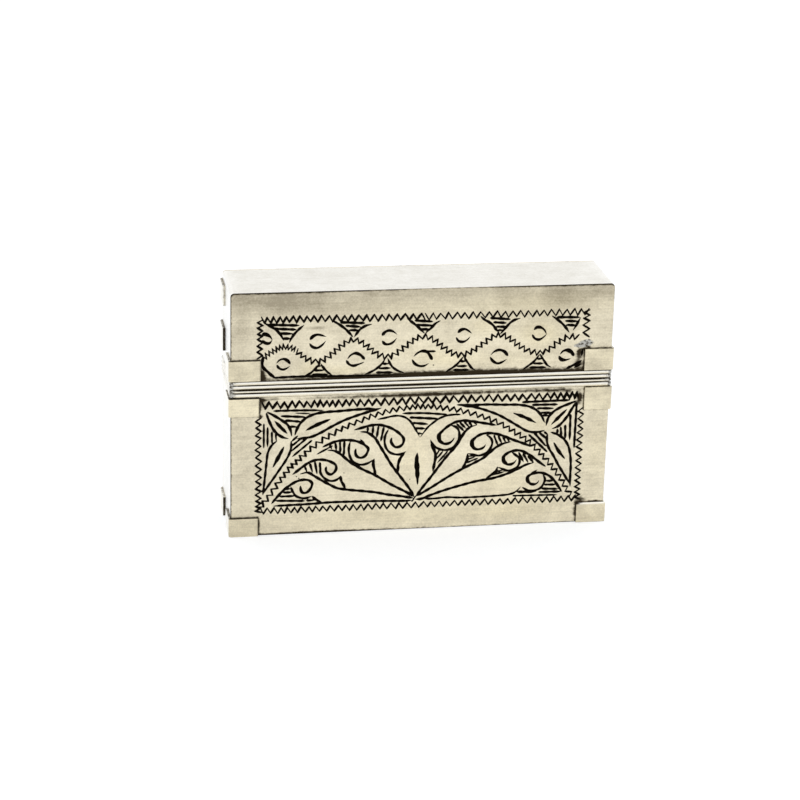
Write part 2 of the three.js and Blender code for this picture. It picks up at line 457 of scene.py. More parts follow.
def lid_border():
    """Toothed lines along the top and both sides of the lid's panel, and the wave across it."""
    wave, _ = through(
        (
            *((-38.4, 45.2), (-36.8, 46.3), (-34.8, 47.5), (-33.0, 47.9), (-31.0, 47.2)),
            *((-29.6, 45.9), (-28.2, 44.7), (-26.6, 44.0), (-25.2, 43.8), (-23.8, 44.4)),
            *((-22.2, 45.6), (-20.6, 46.9), (-19.2, 48.2), (-17.4, 49.1), (-15.8, 48.8)),
            *((-14.2, 47.8), (-12.4, 46.2), (-10.8, 45.0), (-9.0, 44.5), (-7.5, 44.7)),
            *((-5.8, 45.9), (-4.0, 47.4), (-2.4, 48.6), (-0.6, 49.4), (1.0, 49.1)),
            *((2.6, 48.3), (4.2, 46.9), (6.0, 45.5), (7.6, 44.6), (9.2, 44.3)),
            *((10.8, 44.8), (12.6, 45.8), (14.4, 47.2), (16.2, 48.6), (18.2, 49.3)),
            *((20.0, 48.7), (21.6, 47.5), (23.4, 46.2), (25.2, 45.0), (27.0, 44.4)),
            *((28.8, 44.4), (30.4, 45.0), (32.0, 46.4), (33.6, 47.5), (35.6, 48.2), (37.6, 47.9)),
        )
    )
    crowded = wave[:, 0] < -30.6
    top_left = straight((-38.8, 54.55), (-22.0, 54.5), (-10.0, 54.3), (0.1, 54.3))
    top_right = straight((0.1, 54.3), (39.9, 54.35))
    return [
        zigzag(top_left, (1.4, 1.75, 1.8, 1.95), 0.8, 0.52, 1),
        zigzag(top_right, (1.9, 1.95, 1.9, 1.8), 0.82, 0.43, 11),
        zigzag(straight((-39.1, 54.6), (-39.1, 45.0)), (1.3, 1.5, 1.7), 0.66, 0.5, 2),
        zigzag(straight((39.4, 54.8), (39.4, 48.0)), (1.1, 1.8, 2.0), 0.8, 0.48, 3),
        zigzag(wave[crowded], (1.15, 0.85, 0.95), 0.74, 0.34, 4),
        zigzag(wave[~crowded], (1.4, 1.5, 1.45, 1.5), 0.72, 0.45, 5),
    ]


def lid_triangles():
    """Hatched triangles that hang from the top border and stand on the rim, between the waves."""
    hanging = (
        (
            ((-38.4, 54.0), (-37.0, 53.2), (-35.5, 52.2), (-34.3, 50.9), (-33.5, 49.4)),
            ((-28.7, 53.1), (-30.0, 52.0), (-31.1, 50.8), (-31.8, 49.7), (-32.2, 48.8)),
            (
                (-37.3, 53.4, -29.8, 53.0),
                (-36.0, 52.4, -30.5, 52.0),
                (-34.6, 51.2, -31.3, 51.0),
                (-33.8, 49.9, -31.8, 49.8),
            ),
        ),
        (
            ((-22.2, 54.1), (-20.3, 52.9), (-18.8, 51.7), (-17.7, 50.5), (-17.0, 49.7)),
            ((-12.6, 52.8), (-14.2, 52.4), (-15.3, 51.7), (-16.2, 50.6), (-16.8, 49.7)),
            (
                (-20.2, 53.5, -14.2, 53.1),
                (-18.9, 52.6, -15.2, 52.2),
                (-18.0, 51.5, -15.8, 51.4),
            ),
        ),
        (
            ((-4.3, 54.0), (-3.0, 53.0), (-1.8, 52.0), (-0.7, 50.9), (0.1, 50.1)),
            ((3.8, 53.2), (2.6, 52.5), (1.6, 51.4), (0.9, 50.8), (0.3, 50.2)),
            (
                (-2.4, 53.4, 2.0, 53.0),
                (-2.1, 52.3, 2.2, 52.0),
                (-1.1, 51.2, 1.3, 51.1),
            ),
        ),
        (
            ((13.4, 54.1), (14.3, 53.2), (15.5, 52.5), (16.6, 51.6), (17.4, 50.5), (18.0, 49.8)),
            ((23.2, 53.2), (21.5, 52.7), (20.4, 51.8), (19.5, 50.7), (18.4, 49.4)),
            (
                (15.8, 53.5, 20.8, 53.0),
                (16.6, 52.4, 19.9, 52.1),
                (17.3, 51.3, 20.0, 51.1),
                (17.7, 50.4, 19.2, 50.3),
            ),
        ),
        (
            ((30.8, 53.6), (32.2, 52.6), (33.4, 51.6), (34.3, 50.6), (35.3, 49.2)),
            ((37.9, 53.0), (37.3, 51.8), (36.9, 51.0), (36.2, 49.8)),
            (
                (32.0, 53.2, 37.7, 53.0),
                (34.1, 52.2, 37.4, 52.0),
                (34.4, 51.2, 36.9, 51.0),
            ),
        ),
    )
    standing = (
        (
            ((-28.8, 40.3), (-27.2, 41.0), (-26.1, 42.0), (-25.5, 42.7), (-25.2, 43.3)),
            ((-21.9, 40.4), (-23.0, 41.2), (-23.9, 42.2), (-24.4, 42.9), (-24.7, 43.5)),
            (
                (-25.9, 42.7, -24.4, 42.8),
                (-26.2, 41.7, -23.8, 41.7),
                (-26.8, 40.7, -22.9, 40.6),
            ),
        ),
        (
            ((-14.2, 40.3), (-12.4, 41.0), (-11.0, 41.9), (-9.9, 43.0), (-9.3, 44.0)),
            ((-4.6, 40.4), (-6.2, 41.0), (-7.5, 42.0), (-8.2, 43.1), (-8.7, 44.3)),
            (
                (-9.9, 42.8, -8.3, 42.8),
                (-10.8, 41.7, -7.8, 41.7),
                (-11.4, 40.7, -7.2, 40.6),
            ),
        ),
        (
            ((5.3, 40.2), (6.6, 41.0), (7.9, 41.9), (8.9, 43.0), (9.6, 44.0)),
            ((12.8, 40.4), (11.7, 41.1), (10.9, 42.2), (10.2, 43.2), (9.7, 44.2)),
            (
                (8.9, 42.8, 10.3, 42.8),
                (8.1, 41.6, 10.7, 41.6),
                (7.2, 40.7, 11.2, 40.6),
            ),
        ),
        (
            ((24.2, 40.2), (25.5, 41.1), (26.7, 42.0), (27.6, 43.0), (28.2, 43.9)),
            ((31.3, 40.5), (30.2, 41.2), (29.4, 42.3), (28.8, 43.2), (28.3, 44.1)),
            (
                (27.7, 42.8, 28.9, 42.8),
                (26.7, 41.7, 29.3, 41.6),
                (25.8, 40.7, 30.0, 40.6),
            ),
        ),
    )
    drawn = [c for triangle in hanging for c in hatched_triangle(0.66, *triangle)]
    drawn += [c for triangle in standing for c in hatched_triangle(0.6, *triangle)]
    return drawn


def lid_corners():
    """The cut line along the rim, the strokes that close its two corners, and two slips by an eye."""
    return [
        cut(0.75, (-38.4, 45.6), (-38.4, 43.0), (-37.2, 41.7), (-36.4, 40.9), (-35.4, 40.2)),
        cut(
            0.6,
            *((-36.0, 40.2), (-32.0, 40.3), (-28.0, 40.3), (-20.0, 40.1), (-4.0, 39.9)),
            leave=16.0,
        ),
        cut(0.72, (34.9, 40.1), (36.4, 40.8), (37.6, 41.4), (38.7, 42.1)),
        cut(0.6, (36.8, 40.3), (38.8, 41.2)),
        cut(0.6, (38.8, 45.1), (38.6, 43.2)),
        cut(0.5, (0.4, 45.75), (1.5, 45.6), (2.9, 45.55), enter=0.5, leave=0.5),
        cut(0.4, (2.25, 42.15), (2.55, 42.05), enter=0.2, leave=0.2),
    ]


def lid_eyes():
    """Almond eyes above and below the wave, with a heavy one at either end."""
    heavy = (
        (
            1.05,
            ((-38.6, 51.2), (-37.6, 51.0), (-36.6, 50.3), (-36.2, 49.6)),
            ((-38.6, 49.6), (-37.8, 48.9), (-37.0, 48.8), (-36.2, 49.6)),
        ),
        (
            1.0,
            ((36.7, 43.3), (36.0, 44.3), (35.0, 44.8), (34.0, 44.6), (33.3, 43.8)),
            ((33.0, 43.4), (33.6, 42.5), (34.5, 42.3), (35.9, 42.6)),
        ),
    )
    upper_row = (
        (
            ((-27.3, 49.4), (-26.6, 50.2), (-25.6, 50.6), (-24.5, 50.4), (-23.4, 50.0)),
            ((-27.4, 48.5), (-26.8, 47.7), (-25.6, 47.3), (-24.5, 47.9), (-23.5, 49.0)),
        ),
        (
            ((-10.1, 49.9), (-9.5, 50.7), (-8.5, 51.1), (-7.3, 50.7), (-6.5, 50.0)),
            ((-10.1, 48.6), (-9.4, 47.8), (-8.4, 47.7), (-7.3, 48.3), (-6.6, 49.2)),
        ),
        (
            ((8.1, 50.0), (8.8, 50.7), (9.7, 50.9), (10.7, 50.4), (11.5, 49.7)),
            ((7.7, 48.9), (8.3, 48.0), (9.3, 47.7), (10.3, 48.1), (11.1, 48.9)),
        ),
        (
            ((26.6, 50.2), (27.3, 50.8), (28.3, 50.7), (29.2, 50.0), (29.7, 49.0)),
            ((26.2, 49.0), (26.9, 48.0), (27.9, 47.7), (28.9, 48.2), (29.7, 49.0)),
        ),
    )
    lower_row = (
        (
            ((-31.9, 43.5), (-32.5, 44.3), (-33.4, 44.8), (-34.4, 44.6), (-35.2, 43.8)),
            ((-35.1, 43.4), (-34.6, 42.6), (-33.6, 42.2), (-32.7, 42.5), (-32.0, 43.0)),
        ),
        (
            ((-14.2, 44.1), (-15.2, 45.2), (-16.4, 45.7), (-17.6, 45.2), (-18.3, 44.3)),
            ((-18.6, 44.0), (-17.9, 43.0), (-17.0, 42.6), (-15.7, 42.9), (-14.3, 43.4)),
        ),
        (
            ((2.1, 43.4), (1.4, 44.7), (0.7, 45.5), (-0.5, 45.7), (-1.6, 45.2), (-2.4, 44.4)),
            ((-2.8, 43.7), (-2.1, 42.6), (-1.0, 42.0), (0.2, 42.0), (1.3, 42.6)),
        ),
        (
            ((20.5, 43.8), (19.5, 45.0), (18.3, 45.4), (17.1, 45.0), (16.3, 44.2)),
            ((16.1, 43.7), (16.9, 42.6), (18.1, 42.0), (19.3, 42.4), (20.2, 43.0)),
        ),
    )
    drawn = [c for almond in heavy for c in eye(*almond)]
    return drawn + [c for almond in upper_row + lower_row for c in eye(0.76, *almond)]


def base_border():
    """Toothed lines round all four sides of the base's panel, and along the arch over the fan."""
    arch, _ = through(
        (
            *((-39.0, 7.0), (-38.2, 8.2), (-36.2, 10.95), (-34.2, 13.95), (-32.15, 16.75)),
            *((-29.5, 19.4), (-27.2, 21.6), (-24.5, 23.65), (-21.4, 25.65), (-16.6, 27.95)),
            *((-11.65, 29.8), (-8.4, 30.7), (-5.05, 31.3), (-2.4, 31.6)),
            *((0.6, 31.7), (5.0, 31.2), (8.7, 30.5), (12.2, 29.5), (15.8, 28.2)),
            *((19.05, 26.7), (22.4, 24.65), (24.9, 22.9), (27.6, 20.6), (30.2, 17.8)),
            *((32.6, 15.0), (34.9, 11.8), (36.8, 8.5), (37.9, 7.0)),
        )
    )
    top = straight((-38.6, 33.3), (0.0, 33.25), (38.4, 33.2))
    foot = straight((-38.9, 6.3), (38.8, 6.25))
    return [
        zigzag(top, (1.7, 1.9, 1.4, 1.85, 2.05, 2.1, 2.15, 2.15, 2.0, 1.95, 1.0), 0.86, 0.56, 6),
        zigzag(straight((-39.4, 30.3), (-39.4, 6.0)), (1.75, 1.8, 2.05, 1.95, 1.8, 0.9), 0.74, 0.48, 7),
        zigzag(straight((39.2, 30.2), (39.2, 6.0)), (2.0, 1.85, 1.8, 1.75, 1.7, 1.1), 0.74, 0.45, 8),
        zigzag(foot, (1.65, 1.7, 1.85, 1.9, 2.0, 1.85, 1.95, 1.95, 1.75), 0.76, 0.45, 9),
        zigzag(
            arch,
            (1.85, 1.85, 1.3, 1.85, 1.8, 1.8, 1.8, 1.2, 1.75, 1.85, 1.85, 1.6, 1.75, 1.8, 1.8),
            *(0.66, 0.48, 10),
        ),
    ]


def base_fan_left():
    """The four petals left of the fan's hub, from the lowest to the steepest."""
    return [
        *petal(
            (
                *((-2.0, 7.5), (-3.5, 7.45), (-5.0, 7.5), (-10.0, 7.7), (-16.0, 7.8)),
                *((-22.0, 7.85), (-26.0, 7.7), (-36.0, 7.5)),
            ),
            (
                *((-36.2, 8.1), (-35.0, 9.6), (-33.5, 11.3), (-31.8, 12.7), (-30.0, 13.7)),
                *((-28.3, 14.0), (-27.0, 13.7), (-26.4, 13.0), (-26.5, 12.2), (-27.0, 11.3)),
                *((-27.9, 10.6), (-28.7, 10.7), (-29.1, 11.4), (-29.2, 12.5)),
            ),
            ((-31.6, 12.4), (-31.0, 11.0), (-30.4, 10.0), (-29.3, 9.4), (-28.0, 9.2), (-26.4, 9.7)),
            ((-26.4, 9.7), (-25.6, 8.9), (-24.0, 8.0)),
            (
                (-32.9, 11.8, -31.4, 11.8),
                (-33.5, 10.9, -31.1, 10.9),
                (-34.2, 9.9, -30.4, 9.9),
                (-35.2, 8.85, -28.0, 8.5),
                (-27.8, 8.6, -25.6, 8.6),
            ),
            weight=0.64,
        ),
        *petal(
            (
                *((-1.5, 8.05), (-4.0, 8.6), (-8.0, 9.3), (-11.0, 10.0), (-14.0, 10.45)),
                *((-18.5, 11.1), (-20.3, 11.5), (-22.0, 12.4), (-24.0, 13.6), (-26.0, 14.95)),
                *((-27.4, 15.8), (-29.4, 15.5)),
            ),
            (
                *((-31.2, 15.4), (-29.8, 16.5), (-28.4, 17.6), (-27.0, 18.5), (-25.3, 19.0)),
                *((-23.5, 18.9), (-21.8, 18.3), (-20.7, 17.4), (-20.6, 16.5), (-21.1, 15.6)),
                *((-21.9, 15.1), (-22.7, 15.5), (-23.1, 16.4), (-23.0, 17.2)),
            ),
            (
                *((-24.7, 18.2), (-24.5, 17.0), (-24.4, 15.7), (-23.7, 14.5)),
                *((-22.7, 13.7), (-21.4, 13.4), (-20.4, 13.7), (-19.5, 14.6)),
            ),
            ((-19.5, 14.7), (-19.3, 13.3), (-18.7, 12.2), (-18.2, 11.2)),
            (
                (-28.2, 17.4, -27.6, 15.9),
                (-27.0, 18.2, -26.3, 15.8),
                (-25.8, 18.7, -25.2, 15.3),
                (-24.6, 18.4, -24.3, 15.9),
            ),
        ),
        *petal(
            (
                *((-1.7, 8.5), (-3.0, 9.5), (-5.0, 10.65), (-7.0, 11.8), (-9.0, 13.1)),
                *((-11.0, 14.4), (-14.0, 16.0), (-16.0, 17.2)),
                *((-17.6, 18.4), (-19.0, 19.7), (-20.2, 20.7), (-21.3, 21.2), (-22.9, 21.4)),
            ),
            (
                *((-24.0, 22.2), (-22.3, 23.0), (-20.5, 23.6), (-18.5, 23.8), (-16.5, 23.6)),
                *((-14.8, 23.0), (-13.6, 22.2), (-12.9, 21.4), (-13.1, 20.4), (-13.8, 19.4)),
                *((-14.7, 19.1), (-15.6, 19.5), (-16.0, 20.5), (-15.9, 21.5)),
            ),
            (
                *((-17.3, 23.4), (-17.6, 21.8), (-17.5, 20.2), (-16.9, 18.7)),
                *((-15.9, 17.7), (-14.5, 17.3), (-13.0, 17.6), (-11.5, 18.5)),
            ),
            ((-11.4, 18.8), (-11.6, 17.4), (-11.3, 16.0), (-10.9, 14.3)),
            (
                (-22.3, 22.8, -21.7, 21.6),
                (-20.9, 23.3, -20.6, 21.2),
                (-19.8, 23.5, -19.6, 20.5),
                (-18.7, 23.6, -18.8, 19.7),
            ),
            ((-14.9, 23.9, -13.6, 22.4), (-21.5, 22.5, -23.2, 21.6), (-22.6, 21.9, -25.4, 20.4)),
        ),
        *petal(
            (
                *((-1.4, 8.3), (-2.0, 9.6), (-2.7, 10.75), (-4.3, 13.0), (-5.1, 14.1)),
                *((-7.15, 17.0), (-8.8, 19.8)),
                *((-10.2, 22.2), (-11.2, 23.9), (-12.3, 24.95), (-13.4, 25.6), (-15.1, 25.8)),
            ),
            (
                *((-16.4, 26.3), (-14.5, 26.8), (-12.5, 27.3), (-10.5, 27.4), (-8.5, 26.9)),
                *((-6.7, 26.0), (-5.2, 24.8), (-4.3, 23.5), (-4.5, 22.3), (-5.3, 21.6)),
                *((-6.2, 21.5), (-7.0, 22.2), (-7.4, 23.2), (-7.2, 24.0)),
            ),
            (
                *((-8.1, 26.1), (-8.8, 24.6), (-8.95, 23.0), (-8.5, 21.3)),
                *((-7.6, 20.2), (-6.5, 19.7), (-5.1, 19.6), (-3.6, 20.3)),
            ),
            ((-4.0, 20.0), (-5.1, 18.4), (-5.5, 17.0), (-5.4, 15.0)),
            (
                (-13.1, 26.9, -13.1, 25.5),
                (-11.8, 27.1, -11.9, 24.9),
                (-10.5, 27.1, -10.9, 24.0),
                (-9.2, 26.8, -9.9, 23.1),
            ),
        ),
    ]


def base_fan_right():
    """The four petals right of the fan's hub, from the lowest to the steepest."""
    return [
        *petal(
            (
                *((1.2, 7.75), (4.0, 7.75), (6.5, 7.95), (10.0, 7.7), (14.0, 7.7)),
                *((20.0, 7.85), (22.0, 8.0), (23.4, 8.4), (24.4, 9.2), (25.0, 9.9)),
            ),
            (
                *((35.4, 8.1), (34.3, 9.8), (33.0, 11.6), (31.5, 12.8), (30.0, 13.35)),
                *((28.5, 13.35), (27.3, 12.95), (26.6, 12.2), (26.8, 11.25), (27.5, 10.55)),
                *((28.4, 10.4), (29.2, 10.8), (29.5, 11.4)),
            ),
            (
                *((30.4, 12.9), (31.0, 11.6), (30.7, 10.5), (30.0, 9.4)),
                *((29.0, 8.9), (27.6, 8.7), (26.4, 9.1), (25.3, 9.8)),
            ),
            ((24.0, 8.6), (26.0, 8.5), (29.0, 8.5)),
            (
                (31.2, 11.2, 33.1, 11.1),
                (30.8, 10.2, 33.8, 10.1),
                (30.2, 9.2, 34.5, 8.9),
                (29.5, 8.3, 35.2, 8.2),
            ),
            ((27.4, 13.2, 29.0, 14.2), (23.0, 7.6, 34.2, 7.4)),
            crescent=((27.4, 13.2), (26.6, 12.3), (26.8, 11.2), (27.7, 10.5)),
            weight=0.56,
        ),
        *petal(
            (
                *((-1.1, 7.75), (0.3, 7.8), (1.0, 8.0), (2.0, 8.45), (3.0, 8.8), (5.0, 9.5)),
                *((7.0, 10.1), (10.0, 10.9), (14.0, 11.85), (17.5, 12.35), (19.0, 12.7)),
                *((21.0, 13.3), (23.0, 14.1), (24.6, 14.9), (26.0, 15.6), (28.1, 16.1)),
            ),
            (
                *((31.1, 14.9), (29.6, 16.0), (28.0, 17.3), (26.2, 18.6), (24.5, 19.4)),
                *((22.8, 19.4), (21.3, 18.8), (20.3, 17.8), (20.4, 16.8), (21.2, 16.0)),
                *((22.3, 15.9), (23.2, 16.4), (23.7, 17.1)),
            ),
            (
                *((22.4, 19.0), (23.5, 18.2), (24.3, 17.4), (24.45, 16.4), (24.1, 15.4)),
                *((23.4, 14.75), (22.5, 14.4), (21.4, 14.3), (20.4, 14.7), (19.1, 15.3)),
            ),
            ((19.0, 15.4), (18.7, 14.3), (17.6, 13.4), (16.2, 12.4)),
            (
                (24.1, 19.0, 25.5, 16.3),
                (25.2, 18.7, 26.6, 16.2),
                (26.4, 17.9, 28.0, 16.1),
            ),
            ((16.9, 13.1, 20.9, 14.05), (18.5, 14.15, 20.4, 14.4)),
            crescent=((21.1, 18.7), (20.4, 17.8), (20.6, 16.9), (21.5, 16.1)),
        ),
        *petal(
            (
                *((-0.8, 8.6), (0.3, 9.2), (2.5, 10.5), (5.0, 12.1), (8.0, 13.95), (11.0, 15.55)),
                *((13.5, 16.8), (15.5, 17.9), (17.0, 19.2), (18.5, 20.5), (20.0, 21.3), (22.2, 21.8)),
            ),
            (
                *((27.3, 20.3), (25.0, 21.3), (23.0, 22.1), (21.0, 23.0), (19.0, 23.8)),
                *((17.0, 24.2), (15.0, 24.1), (13.4, 23.3), (12.3, 22.1), (12.6, 20.9)),
                *((13.5, 20.2), (14.6, 20.2), (15.5, 20.7), (15.9, 21.4)),
            ),
            (
                *((15.9, 23.8), (16.9, 23.1), (17.45, 22.1), (17.35, 20.9), (16.75, 19.8)),
                *((15.7, 18.9), (14.3, 18.5), (12.8, 18.8), (11.5, 19.2)),
            ),
            ((11.5, 19.2), (11.4, 17.6), (10.9, 16.4), (10.1, 14.9)),
            (
                (17.8, 23.7, 18.9, 20.9),
                (18.8, 23.6, 19.9, 21.3),
                (20.0, 23.2, 20.9, 21.5),
                (21.0, 22.9, 21.8, 21.7),
            ),
            (
                (11.6, 18.5, 13.2, 18.4),
                (11.5, 17.6, 13.4, 18.2),
                (11.2, 16.7, 14.2, 17.9),
            ),
            hatch=0.56,
            crescent=((13.6, 23.4), (12.5, 22.2), (12.6, 21.1), (13.7, 20.3)),
        ),
        *petal(
            (
                *((-0.9, 8.6), (0.0, 9.9), (1.0, 11.3), (2.0, 12.6), (3.3, 14.4), (5.5, 17.5)),
                *((7.0, 19.4), (8.4, 21.0), (9.6, 23.0), (10.7, 24.85), (12.0, 26.0), (13.5, 26.4)),
            ),
            (
                *((18.3, 26.2), (16.0, 26.7), (14.0, 27.1), (12.0, 27.5), (10.0, 27.7)),
                *((8.3, 27.4), (6.6, 26.5), (5.2, 25.3), (4.2, 24.0), (4.4, 22.8)),
                *((5.3, 22.0), (6.5, 21.9), (7.6, 22.6), (8.1, 23.4)),
            ),
            (
                *((7.1, 26.6), (8.4, 26.1), (9.1, 25.2), (9.3, 24.1), (9.2, 23.1), (8.7, 21.9)),
                *((7.8, 20.9), (6.4, 20.3), (5.0, 20.4), (3.6, 21.1), (2.6, 22.2), (2.2, 23.2)),
            ),
            ((2.3, 21.9), (3.2, 20.4), (3.6, 18.8), (3.4, 17.0), (3.0, 14.8)),
            (
                (8.5, 27.0, 10.5, 24.9),
                (9.2, 27.4, 10.9, 25.6),
                (10.3, 27.5, 11.7, 25.9),
                (11.4, 27.4, 12.5, 26.1),
                (12.7, 27.3, 13.6, 26.4),
            ),
            ((4.5, 20.4, 3.7, 18.8), (5.4, 20.0, 3.9, 18.1), (6.6, 20.0, 4.1, 17.0)),
            hatch=0.58,
            crescent=((5.1, 25.3), (4.3, 24.1), (4.5, 22.9), (5.6, 22.1)),
        ),
    ]


def base_middle():
    """The hatched wedge over the fan's middle, the slit in the petal below it, and small slips."""
    return [
        cut(
            0.54,
            *((-10.8, 28.8), (-9.0, 29.1), (-7.0, 29.5), (-5.5, 29.5), (-4.0, 29.0)),
            *((-2.8, 28.0), (-1.9, 26.6), (-1.2, 25.4), (-0.4, 23.8)),
            leave=2.4,
        ),
        cut(
            0.54,
            *((9.5, 29.3), (7.5, 29.3), (6.0, 29.1), (4.5, 28.6), (3.0, 27.6), (1.5, 26.3)),
            *((0.4, 24.8), (-0.3, 23.8)),
            leave=3.0,
        ),
        cut(0.58, (-4.8, 30.1), (0.0, 30.0), (6.2, 29.4)),
        *bars(
            0.68,
            (-3.0, 29.0, 4.0, 28.4),
            (-2.3, 27.6, 1.6, 27.1),
            (-1.7, 26.2, 0.9, 26.0),
            (-1.1, 24.9, 0.3, 24.7),
        ),
        cut(1.2, (-0.9, 19.9), (-1.0, 17.8), (-0.8, 15.4), (-0.6, 11.5), enter=2.4, leave=3.6),
        *[
            cut(0.36, (x, z), (x + 0.3, z - 0.1), enter=0.2, leave=0.2)
            for x, z in ((-2.7, 13.1), (-30.35, 14.95), (-29.75, 14.5))
        ],
        cut(0.4, (-2.0, 7.1), (-1.5, 7.8), (-1.2, 8.3), (-0.8, 8.8), enter=0.4, leave=0.4),
    ]


def base_spandrels():
    """Three leaves in each upper corner, with bars between them."""
    return [
        *leaf(
            0.7, 0.92,
            ((-37.4, 31.7), (-35.4, 30.5), (-33.8, 29.4), (-32.4, 28.2), (-31.7, 26.8), (-31.4, 25.2)),
            ((-37.6, 31.5), (-36.7, 29.0), (-35.7, 27.0), (-34.5, 25.7), (-33.3, 25.0), (-32.1, 24.7)),
            ((-35.6, 29.4), (-34.0, 27.6), (-32.4, 25.9)),
        ),
        *leaf(
            0.7, 0.92,
            (
                *((-30.7, 25.4), (-30.2, 27.0), (-29.3, 28.6), (-28.0, 29.8), (-26.0, 30.7)),
                *((-23.5, 31.1), (-20.0, 31.25), (-17.0, 31.45), (-11.3, 31.6)),
            ),
            (
                *((-30.2, 24.6), (-28.4, 24.7), (-26.6, 25.0), (-24.5, 25.9), (-22.0, 27.3)),
                *((-19.0, 28.8), (-16.0, 29.9), (-13.0, 30.8), (-9.8, 31.7)),
            ),
            ((-28.1, 26.6), (-25.3, 28.0), (-22.1, 29.3)),
        ),
        *leaf(
            0.62, 0.92,
            (
                *((-34.9, 24.3), (-36.3, 23.0), (-37.1, 21.3), (-37.4, 19.0), (-37.7, 16.0)),
                *((-38.0, 13.0), (-38.3, 10.3)),
            ),
            (
                *((-31.6, 24.2), (-31.5, 22.8), (-31.9, 21.0), (-32.9, 19.0), (-34.2, 17.0)),
                *((-35.5, 15.0), (-37.0, 12.8), (-38.3, 10.7)),
            ),
            ((-33.2, 22.8), (-34.4, 20.4), (-35.9, 17.5)),
        ),
        *leaf(
            0.7, 0.84,
            ((38.0, 31.8), (36.0, 31.0), (34.0, 30.2), (32.4, 29.2), (31.3, 28.0), (30.6, 25.5)),
            ((37.9, 31.5), (36.8, 29.6), (35.9, 28.0), (34.9, 26.6), (33.7, 25.4), (32.1, 24.7)),
            ((35.7, 29.7), (34.0, 28.0), (31.9, 25.8)),
        ),
        *leaf(
            0.66, 0.84,
            (
                *((8.4, 31.8), (12.0, 31.6), (16.0, 31.6), (20.0, 31.4), (24.0, 31.2)),
                *((26.5, 30.6), (28.2, 29.6), (29.4, 28.2), (30.3, 26.3)),
            ),
            (
                *((9.3, 31.6), (13.0, 31.0), (16.0, 30.0), (19.0, 28.7), (21.5, 27.2)),
                *((24.0, 25.6), (26.0, 24.4), (28.0, 24.0), (30.4, 24.4)),
            ),
            ((22.3, 29.2), (25.0, 28.1), (28.2, 26.4)),
        ),
        *leaf(
            0.66, 0.84,
            (
                *((31.1, 23.7), (31.0, 22.0), (31.5, 20.0), (32.8, 17.8), (34.2, 15.2)),
                *((35.6, 12.9), (37.3, 10.1)),
            ),
            (
                *((31.8, 23.9), (33.6, 23.2), (35.2, 22.0), (36.4, 20.2), (37.0, 18.0)),
                *((37.3, 15.0), (37.3, 12.0), (37.4, 9.4)),
            ),
            ((32.7, 21.3), (34.0, 19.0), (35.8, 16.7)),
        ),
        cut(0.6, (-35.9, 31.85), (-30.0, 31.8), (-23.6, 31.6), leave=3.0),
        cut(0.36, (-30.7, 31.15), (-26.8, 30.85)),
        *bars(
            0.64,
            (-34.1, 30.5, -28.1, 30.05),
            (-33.1, 29.4, -29.2, 28.9),
            (-31.9, 27.8, -30.0, 27.6),
        ),
        *bars(
            0.54,
            (-38.1, 28.8, -38.1, 22.4),
            (-37.2, 27.9, -37.2, 22.7),
            (-36.2, 26.7, -36.1, 23.4),
            (-35.3, 26.2, -35.1, 24.2),
            (-29.9, 25.4, -31.6, 23.8),
            (-28.9, 24.9, -31.6, 22.6),
            (-27.6, 24.8, -31.7, 21.3),
            (-26.5, 24.1, -31.3, 20.0),
        ),
        *bars(
            0.64,
            (24.4, 31.9, 36.4, 32.0),
            (26.9, 31.1, 33.4, 31.0),
            (28.2, 30.2, 32.4, 30.0),
            (29.0, 29.0, 32.0, 28.9),
            (29.4, 28.3, 31.3, 28.2),
            (38.0, 31.4, 37.9, 19.5),
            (36.6, 28.4, 36.7, 21.6),
            (35.4, 25.7, 35.6, 22.0),
            (34.3, 25.2, 34.6, 22.5),
            (33.5, 24.7, 33.6, 23.2),
            (26.4, 23.5, 31.3, 18.7),
            (27.7, 24.0, 30.9, 20.2),
            (28.9, 24.0, 31.3, 21.9),
            (30.2, 24.1, 31.3, 23.1),
        ),
    ]


def lid_engraving():
    """Every stroke on the lid, as one array."""
    return np.concatenate(lid_border() + lid_triangles() + lid_corners() + lid_eyes())


def base_engraving():
    """Every stroke on the base, as one array."""
    drawn = base_border() + base_fan_left() + base_fan_right() + base_middle() + base_spandrels()
    return np.concatenate(drawn)


# The stretches that the graver worked, as lowest and highest x and z, the steps of their grids, and the
# soft spots on the fronts. A spot is its place in x and z, its reach either way, and its strength.

